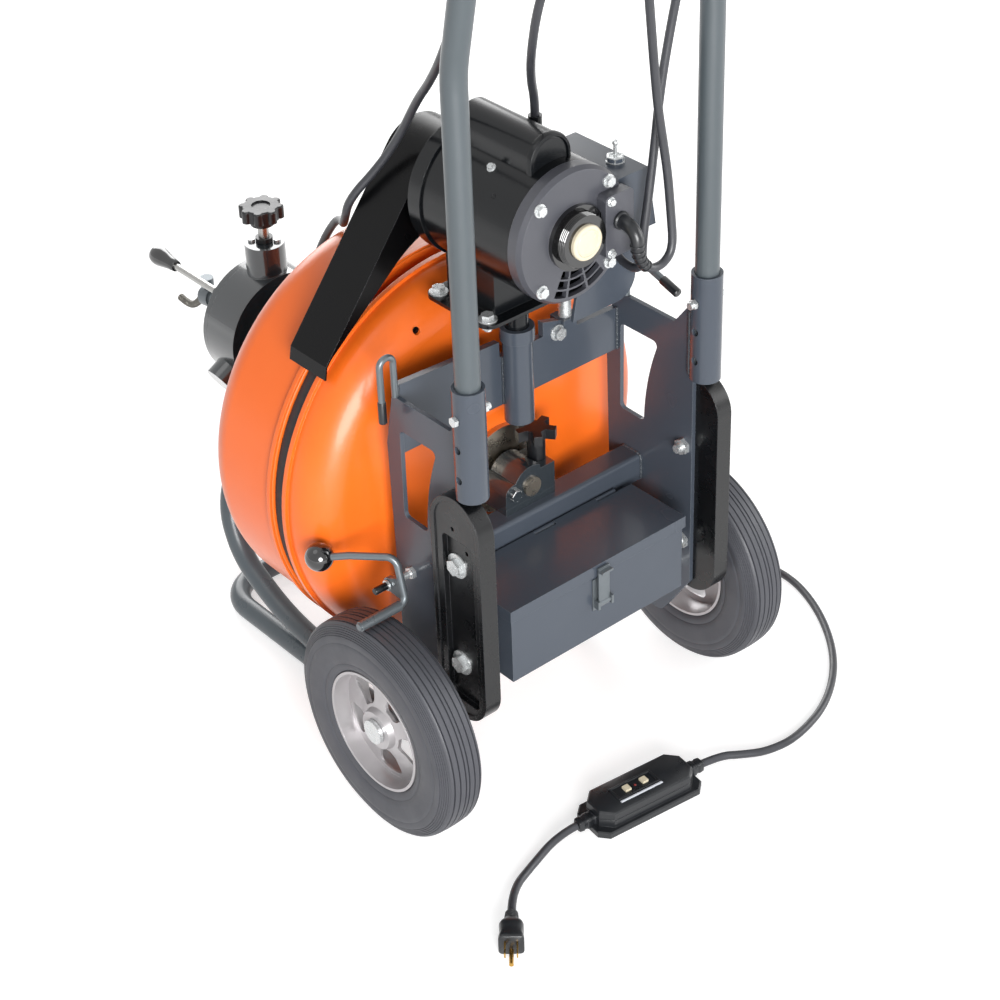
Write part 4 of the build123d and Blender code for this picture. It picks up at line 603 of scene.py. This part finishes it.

# leakage breaker: flat foot, chamfered body, raised frame round the keys, a bar painted pale as a highlight, squared
# glands
breakerLook = {"centre": (-19.0, -168.0), "turn": -6.6, "foot": (140, 58, 10), "body": (126, 48, 12), "glandZ": 12.0,
               "stack": [("foot", 1.5, 0), ("foot", 0, 1.5), ("foot", 0, 7.6), ("foot", 1.2, 9), ("body", 0, 9.2),
                         ("body", 0.3, 17.6), ("body", 0.9, 18.0), ("body", 0.9, 18.8), ("body", 0.3, 19.2),
                         ("body", 0.5, 26.6), ("body", 1.6, 28.2), ("body", 3.4, 29)],
               "panel": {"centre": -7.5, "half": (27.5, 10.5),
                         "steps": [(0, 28.6), (0, 29.9), (0.8, 30.4), (2.2, 30.4), (2.8, 29.8), (2.8, 28.6)]},
               "ridge": {"u": (-35.0, 20.0), "v": (-14.8, -12.2), "steps": [(0, 28.4), (0, 30.0), (0.6, 30.6)]},
               "gland": [(60, 15, 15), (64, 15, 15), (65, 13.4, 13.6), (68, 13.2, 13.4), (69, 14.6, 14.8),
                         (73, 14.2, 14.4), (74, 12.6, 12.8), (77, 12.4, 12.6), (78, 13.6, 13.8), (83, 12.8, 13),
                         (84, 11, 11)]}
breakerTurn = Matrix.Rotation(math.radians(breakerLook["turn"]), 3, "Z")


def onBreaker(u, v, z):
    across = breakerTurn @ Vector((u, v, 0))
    return spot(breakerLook["centre"][0] + across.x, breakerLook["centre"][1] + across.y, z)


def chamferLoop(size, inset, z):
    length, width, cut = size
    a, b = length / 2 - inset, width / 2 - inset
    corner = [(a, -b + cut), (a, b - cut), (a - cut, b), (-a + cut, b), (-a, b - cut), (-a, -b + cut),
              (-a + cut, -b), (a - cut, -b)]
    return [onBreaker(u, v, z) for u, v in corner]


# a rounded square loop across a direction; a higher power gives squarer corners
def softLoop(base, side, wide, tall, power):
    loop = []
    for k in range(32):
        t = 2 * math.pi * k / 32
        c, s = math.cos(t), math.sin(t)
        a = math.copysign(abs(c) ** (2 / power), c) * wide / 2
        b = math.copysign(abs(s) ** (2 / power), s) * tall / 2
        loop.append(base + side * a * mm + Vector((0, 0, b * mm)))
    return loop


breakerStack = [chamferLoop(breakerLook[part], inset, z) for part, inset, z in breakerLook["stack"]]
breakerBody = loftPiece("breakerBody", breakerStack, *moulding, sharp=25)
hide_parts("gfci_box")
panel = breakerLook["panel"]
panelRing = []
for inset, z in panel["steps"]:
    panelRing.append([onBreaker(panel["centre"] + su * (panel["half"][0] - inset), sv * (panel["half"][1] - inset), z)
                      for su, sv in ((1, -1), (1, 1), (-1, 1), (-1, -1))])
points, rows = stackLoops(panelRing)
makePiece("breakerFrame", points, bridgeRows(rows, True), *moulding, sharp=25)
# the bar beside the keys: its pale grey is a painted highlight
ridge = breakerLook["ridge"]
ridgeLoops = []
for inset, z in ridge["steps"]:
    (u0, u1), (v0, v1) = ridge["u"], ridge["v"]
    ridgeLoops.append([onBreaker(u, v, z) for u, v in ((u1 - inset, v0 + inset), (u1 - inset, v1 - inset),
                                                       (u0 + inset, v1 - inset), (u0 + inset, v0 + inset))])
breakerRidge = loftPiece("breakerRidge", ridgeLoops, "ridgePaintedHighlight", "frame", "black_plastic", sharp=25)
turnPiece("breakerLamp", [(0, 0), (0, 1.6), (1.0, 1.5), (1.5, 0.9), (1.7, 0)], onBreaker(-6.3, 0, 28.6), (0, 0, 1),
          "lampRed", "frame", "black_plastic", steps=20)
breakerSide = breakerTurn @ Vector((0, 1, 0))
for side, tag in ((1, "Right"), (-1, "Left")):
    glandLoops = [softLoop(onBreaker(side * u, 0, breakerLook["glandZ"]), breakerSide, wide, tall, 5)
                  for u, wide, tall in breakerLook["gland"]]
    loftPiece("breakerGland" + tag, glandLoops, *moulding, sharp=30)

# plug: ribbed neck, waisted grip and a flat face round the blades
plugBodyLook = {"foot": (-240.0, -210.5, 13.5), "way": (-0.66, -0.751, 0.0),
                "steps": [(0, 11, 11, 2), (2, 13, 13, 2), (9, 14, 14, 2), (13, 17, 16, 2.4), (17, 23, 21, 3),
                          (22, 25.5, 24, 4), (28, 24.4, 23, 4), (34, 24.2, 23, 4), (40, 26.4, 25.4, 5),
                          (45.2, 26.6, 25.6, 6), (46, 25, 24, 6)],
                "ribRuns": (11.5, 9, 6.5, 4, 1.5), "ribRing": 7.0, "ribThick": 0.9, "ribEnd": 0.88}
plugWay = Vector(plugBodyLook["way"]).normalized()
plugSide = Vector((-plugWay.y, plugWay.x, 0))
plugFoot = spot(*plugBodyLook["foot"])
plugLoops = [softLoop(plugFoot + plugWay * run * mm, plugSide, wide, tall, power)
             for run, wide, tall, power in plugBodyLook["steps"]]
plugBody = loftPiece("plugBody", plugLoops, *moulding, sharp=50)
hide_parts("plug")
neckLine = [plugFoot + plugWay * run * mm for run in plugBodyLook["ribRuns"]]
plugRibs = runTree("plugRibs", ribTree, neckLine, chain(len(neckLine)),
                   {"Ring": plugBodyLook["ribRing"] * mm, "Thick": plugBodyLook["ribThick"] * mm,
                    "Count": len(neckLine), "Small": plugBodyLook["ribEnd"]}, *moulding)

print("breaker and plug made")

# tyres: turned section with tread grooves, shoulder ribs and a bead ring
tyreLook = {"track": 222.0, "ribs": 6, "ribDepth": 0.6, "ribSink": 0.3, "steps": 144,
            "wall": [(0, 70.3), (21.5, 70.3), (23.4, 71.6), (24.8, 75), (25.6, 79), (25.2, 80), (26.4, 81.4),
                     (27.4, 87), (27.9, 93), (28, 100), (27.9, 104), (27.2, 105), (27.6, 106.2), (27.3, 110)],
            "shoulder": ((27.0, 112.0), (20.4, 124.4)),
            "tread": [(18.6, 125.5), (17.5, 125.9), (17.1, 124.1), (16.1, 124.1), (15.7, 126.3), (10.4, 126.7),
                      (10.0, 124.7), (9.0, 124.7), (8.6, 126.8), (3.2, 127), (2.8, 125), (1.8, 125), (1.4, 127),
                      (0, 127)]}


def tyreOutline(look):
    half = list(look["wall"])
    (u0, r0), (u1, r1) = look["shoulder"]
    for k in range(look["ribs"]):
        for step, sunk in ((0.0, 0), (0.45, 0), (0.6, 1), (0.85, 1)):
            share = (k + step) / look["ribs"]
            half.append((u0 + (u1 - u0) * share - sunk * look["ribDepth"],
                         r0 + (r1 - r0) * share - sunk * look["ribSink"]))
    half += look["tread"]
    return half + [(-u, r) for u, r in reversed(half[1:-1])]


for side, tag in ((-1, "Left"), (1, "Right")):
    tyre = turnPiece("tyre" + tag, tyreOutline(tyreLook), spot(side * tyreLook["track"], 0, wheelZ), (1, 0, 0),
                     "tyreRubber", "wheel_" + tag.lower(), "tyre", closed=True, steps=tyreLook["steps"], sharp=34)
    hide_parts("tyre_" + tag.lower())
print("tyres turned")

# belt: V section round the drum and the pulley
beltLook = {"y": 155.7, "drumRadius": 231.5, "pulleyRadius": 29.9, "seat": 0.3, "pulleySteps": 16, "drumSteps": 120,
            "section": [(-8, 0), (-7.4, 0.3), (7.4, 0.3), (8, 0), (8, -1.2), (5.2, -10.6), (4.6, -11), (-4.6, -11),
                        (-5.2, -10.6), (-8, -1.2)]}


def beltLine(look):
    lap = math.acos((look["drumRadius"] - look["pulleyRadius"]) / (motorZ - drumZ))
    top, low = math.pi / 2 - lap, math.pi / 2 + lap
    wrap = low - top
    stations = []
    for k in range(look["pulleySteps"] + 1):
        stations.append((look["pulleyRadius"], motorZ, top + wrap * k / look["pulleySteps"]))
    for k in range(look["drumSteps"] + 1):
        stations.append((look["drumRadius"], drumZ, low + (2 * math.pi - wrap) * k / look["drumSteps"]))
    return stations


beltLoops = []
for radius, z, a in beltLine(beltLook):
    loop = []
    for along, out in beltLook["section"]:
        reach = radius + out - beltLook["seat"]
        loop.append(spot(reach * math.cos(a), beltLook["y"] + along, z + reach * math.sin(a)))
    beltLoops.append(loop)
points, rows = stackLoops(beltLoops)
driveBelt = makePiece("driveBelt", points, bridgeRows(rows, True), "beltCloth", "frame", "rubber")
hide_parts("drive_belt")

# drain cable: spring wire wound on a core, out of the nose
cableLook = {"route": [(0, 350, drumZ), (0, 470, drumZ), (0, 516, drumZ), (0, 560, 307.8), (0, 618, 298.1),
                       (0, 631, 295.9), (0, 653, 271.7), (0, 672, 264.7), (0, 688.6, 268.4)],
             "coil": 3.9, "wire": 0.85, "pitch": 1.75, "turnSteps": 12, "core": 3.3, "coreSides": 12}
cableLine = splinePoints(cableLook["route"])
cableRun = sum((b - a).length for a, b in zip(cableLine, cableLine[1:]))
cableTurns = cableRun / (cableLook["pitch"] * mm)
cableWinding = runTree("cableWinding", windingTree, cableLine, chain(len(cableLine)),
                       {"Coil Radius": cableLook["coil"] * mm, "Wire Radius": cableLook["wire"] * mm,
                        "Turns": cableTurns, "Steps": int(cableTurns * cableLook["turnSteps"])},
                       "springWire", "frame", "steel")
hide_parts("drain_cable")
coreLoops = tubeLoops(cableLine, [cableLook["core"]] * len(cableLine), cableLook["coreSides"])
loftPiece("cableCore", coreLoops, "springWire", "frame", "steel")

# feed lever handle: tapered phenolic grip
gripLook = [(612, 4.05), (612, 6.4), (613.2, 7.0), (622, 7.8), (634, 9.9), (643, 11.7), (650, 12), (655, 11),
            (658.6, 8.4), (660.4, 4.8), (661, 0)]
leverGrip = turnPiece("leverGrip", gripLook, spot(-46, 0, 360.2), (0, 1, 0), "phenolicBlack", "selector",
                      "black_plastic", steps=48)
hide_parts("feed_lever_knob")
# bright steel of the selector arm and of the tension screw's stem
turnPiece("selectorRod", [(0, 3.9), (0, 4.3), (86, 4.3), (86, 3.9)], spot(-46, 526, 360.2), (0, 1, 0), "drawnSteel",
          "selector", "steel", closed=True, steps=32)
turnPiece("tensionStem", [(0, 5.9), (0, 6.3), (17, 6.3), (17, 5.9)], spot(0, 486, 433.2), (0, 0, 1), "drawnSteel",
          "tension_screw", "steel", closed=True, steps=32)
print("belt, cable and grip made")

# welds under the paint: cross bar and tube to the plates, motor post to the bar, sleeves to the plates
weldLook = {"radius": 2.0, "spacing": 1.7, "seed": 4,
            "seams": [[(-149, 46, 413), (-149, 46, 492)], [(149, 46, 413), (149, 46, 462)],
                      [(12.9, 45.4, 414), (12.9, 45.4, 468)], [(-12.9, 45.4, 414), (-12.9, 45.4, 468)]]}
for side in (-1, 1):
    x = side * 149.0
    weldLook["seams"] += [[(x, 8, 262), (x, 8, 286), (x, 9.5, 290.5), (x, 14, 292), (x, 35, 292)],
                          [(side * 148.6, -64.5, 431), (side * 148.6, -64.5, 503)],
                          [(side * 155.4, -62.2, 431), (side * 155.4, -62.2, 503)]]
weldPoints, weldEdges = [], []
for seam in weldLook["seams"]:
    weldEdges += chain(len(seam), len(weldPoints))
    weldPoints += [spot(*p) for p in seam]
runTree("weldBeads", beadTree, weldPoints, weldEdges,
        {"Radius": weldLook["radius"] * mm, "Spacing": weldLook["spacing"] * mm, "Seed": weldLook["seed"]},
        "weldSlate", "frame", "frame_paint")

# small screws in the motor shell and the terminal cover, each with its own direction
screwLook = {"head": 3.6, "height": 3.0, "washer": 4.8,
             "places": [((-39.0, 20, 705.2), (-39.0, 0, 60.2)), ((36, -68, 617.5), (0, -1, 0)),
                        ((36, -68, 674), (0, -1, 0))]}
screwPlaces = [spot(*place) for place, way in screwLook["places"]]
screwWays = [Vector(way).normalized() for place, way in screwLook["places"]]
runTree("shellScrews", screwTree, screwPlaces, [],
        {"Head": screwLook["head"] * mm, "Height": screwLook["height"] * mm, "Washer": screwLook["washer"] * mm},
        "zincPlate", "frame", "zinc", facing=screwWays)

# dark disc in the shell's hole, bearing bolt, dark disc in the drum's pin hole and the brake's stud; both dark discs
# are painted shade inside the holes
turnPiece("shellHoleShade", [(-1, 0), (-1, 2.6), (0.3, 2.6), (0.3, 2.0), (-0.6, 1.8), (-0.6, 0)], spot(-56.3, -2, 689.1),
          (-56.3, 0, 44.1), "guardBlack", "frame", "black_paint", steps=20)
turnPiece("bearingBolt", [(0, 0), (0, 7.4), (5.0, 7.4), (5.6, 6.6), (5.6, 0)], spot(-24, 20.2, drumZ), (0, -1, 0),
          "castSlate", "frame", "cast", steps=6, sharp=20)
# black disc in the drum's pin hole: painted shade
turnPiece("pinHoleShade", [(0, 0), (0, 3.9), (0.6, 3.9), (0.6, 0)], spot(-83.1, 98.2, 508.1), (0, -1, 0), "guardBlack",
          "drum", "black_paint", steps=24)
turnPiece("studEnd", [(0, 4.15), (14.6, 4.15), (15.3, 3.6), (15.3, 0)], spot(-190.2, 34, 272), (-1, 0, 0),
          "motorBlack", "frame", "black_paint", steps=24)

# cream cap in the motor's rear boss, and the black ridged boss round it
motorCapLook = [(0, 0), (0, 18.5), (11.4, 18.5), (12.7, 17.6), (13, 16.4), (13, 14.4), (12.0, 13.7), (11.8, 12.6),
                (12.3, 11.8), (12.7, 7), (12.8, 0)]
motorCap = turnPiece("motorCap", motorCapLook, spot(0, -62, motorZ), (0, -1, 0),
                     "creamUrea", "frame", "cream_plastic", steps=64, sharp=24)
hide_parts("motor_end_cap")
capBossLook = {"flange": [(0, 33.8), (0, 34.05), (5.2, 34.05), (5.2, 27.1)], "ridges": 4, "first": 6.4, "pitch": 2.2,
               "ridge": [(0, 27.1), (0.6, 27.9), (1.1, 27.9), (1.7, 27.1)],
               "end": [(15.2, 27.1), (15.2, 18.6), (14.9, 18.6), (14.9, 26.8), (4.9, 26.8), (4.9, 33.8)]}
bossOutline = list(capBossLook["flange"])
for k in range(capBossLook["ridges"]):
    start = capBossLook["first"] + capBossLook["pitch"] * k
    bossOutline += [(start + run, radius) for run, radius in capBossLook["ridge"]]
turnPiece("capBoss", bossOutline + capBossLook["end"], spot(0, -55, motorZ), (0, -1, 0), "phenolicBlack", "frame",
          "black_paint", closed=True, steps=72, sharp=24)
print("welds and screws set")

# capacitor cover: raised rim round its end
capLook = {"x": -4.5, "domeZ": 720.0, "foot": 709.0, "steps": 16,
           "rim": [(25.0, -20.5), (26.2, -21.2), (26.4, -25.4), (25.4, -27.6), (22.5, -28.2), (22.0, -26.8)]}


def archLoop(radius, y, look):
    loop = [(radius, look["foot"])]
    for k in range(look["steps"] + 1):
        turn = math.pi * k / look["steps"]
        loop.append((radius * math.cos(turn), look["domeZ"] + radius * math.sin(turn)))
    loop.append((-radius, look["foot"]))
    return [spot(look["x"] + x, y, z) for x, z in loop]


points, rows = stackLoops([archLoop(radius, y, capLook) for radius, y in capLook["rim"]])
rimFaces = []
for low, high in zip(rows, rows[1:] + rows[:1]):
    rimFaces += [[low[k], low[k + 1], high[k + 1], high[k]] for k in range(len(low) - 1)]
rimFaces += [[row[0] for row in rows], [row[-1] for row in rows][::-1]]
makePiece("capacitorRim", points, rimFaces, "motorBlack", "frame", "black_paint")

# switch nut under the toggle
toggleNutLook = [(0, 0), (0, 10.6), (1.2, 10.6), (1.2, 9.4), (5.6, 9.4), (6.2, 8.4), (6.2, 6.6), (5.2, 6.2), (5.2, 0)]
turnPiece("toggleNut", toggleNutLook, spot(90, -16, 680.2), (0, 0, 1), "zincPlate", "frame", "steel",
          steps=6, sharp=20)

# black vinyl tips on the cord hooks
hookTipLooks = {
    "hookTipLeft": {"outline": [(0, 0), (0, 3.6), (1, 4.4), (24, 4.4), (25, 3.9), (25, 0)],
                    "place": (-170.3, 46, 458.6), "way": (0, 0, 1)},
    "hookTipRight": {"outline": [(-25, 0), (-25, 4.4), (-24, 5.0), (-1, 5.0), (0.2, 4.0), (0.2, 0)],
                     "place": (152, -44, 516), "way": (0, -78, -24)},
}
for name, look in hookTipLooks.items():
    turnPiece(name, look["outline"], spot(*look["place"]), look["way"], *moulding, steps=24)
print("small parts made")

# floor: pale, with a glow for the camera that rises away from the object, so the shadow stays and the edge is white
floorLook = {"half": 14, "colour": "#D2D2D2", "rough": 0.9, "glow": 0.55, "far": 1.0, "near": 1.3, "out": 2.6}
floorData = bpy.data.meshes.new("floor")
floorCorners = [(x * floorLook["half"], y * floorLook["half"], 0) for x, y in ((-1, -1), (1, -1), (1, 1), (-1, 1))]
floorData.from_pydata(floorCorners, [], [(0, 1, 2, 3)])
floor = link(bpy.data.objects.new("floor", floorData))
floorPaper = bpy.data.materials.new("floorPaper")
floorPaper.use_nodes = True
paperTree = floorPaper.node_tree
paper = paperTree.nodes["Principled BSDF"]
paper.inputs["Base Color"].default_value = hexLinear(floorLook["colour"])
paper.inputs["Roughness"].default_value = floorLook["rough"]
paper.inputs["Emission Color"].default_value = (1, 1, 1, 1)
ground = addNode(paperTree, "ShaderNodeNewGeometry").outputs["Position"]
away = mathNode(paperTree, "LENGTH", ground, kind="VectorMath")
rise = addNode(paperTree, "ShaderNodeMapRange", {"From Min": floorLook["near"], "From Max": floorLook["out"],
                                                 "To Min": floorLook["glow"], "To Max": floorLook["far"]},
               {"Value": away})
glow = mathNode(paperTree, "MULTIPLY", seenRays(paperTree), rise.outputs["Result"])
paperTree.links.new(glow, paper.inputs["Emission Strength"])
floorData.materials.append(floorPaper)

# lamps: a soft key behind the camera's left and three weaker ones
lampLooks = {
    "keyLamp": {"place": (-1700, -2900, 1150), "aim": (0, 100, 420), "size": 1.9, "power": 172},
    "sideLamp": {"place": (2700, -1500, 1300), "aim": (0, 100, 400), "size": 2.2, "power": 50},
    "frontLamp": {"place": (1300, 3000, 1500), "aim": (0, 200, 400), "size": 2.4, "power": 70},
    "topLamp": {"place": (-1500, 600, 3000), "aim": (0, 150, 400), "size": 1.8, "power": 8},
}
for name, look in lampLooks.items():
    data = bpy.data.lights.new(name, "AREA")
    data.shape = "DISK"
    data.size = look["size"]
    data.energy = look["power"]
    lamp = link(bpy.data.objects.new(name, data))
    lamp.location = spot(*look["place"])
    lamp.rotation_euler = (spot(*look["aim"]) - lamp.location).to_track_quat("-Z", "Y").to_euler()

# sky: brighter behind the camera, darker ahead and overhead; white where it is seen or mirrored
skyLook = {"bright": (-0.74, -0.65, 0.18), "low": 0.10, "high": 0.64, "colour": "#FFFFFF", "span": (-0.8, 0.9)}
sky = bpy.data.worlds.new("sky")
scene.world = sky
sky.use_nodes = True
skyTree = sky.node_tree
backdrop = skyTree.nodes["Background"]
backdrop.inputs["Color"].default_value = hexLinear(skyLook["colour"])
heading = addNode(skyTree, "ShaderNodeTexCoord").outputs["Generated"]
toward = mathNode(skyTree, "DOT_PRODUCT", heading, skyLook["bright"], "VectorMath")
level = addNode(skyTree, "ShaderNodeMapRange", {"From Min": skyLook["span"][0], "From Max": skyLook["span"][1],
                                                "To Min": skyLook["low"], "To Max": skyLook["high"]},
                {"Value": toward})
strength = addNode(skyTree, "ShaderNodeMix", {"data_type": "FLOAT", 3: 1.0},
                   {0: seenRays(skyTree), 2: level.outputs["Result"]})
skyTree.links.new(strength.outputs[0], backdrop.inputs["Strength"])
print("stage lit")

print("pieces ready")
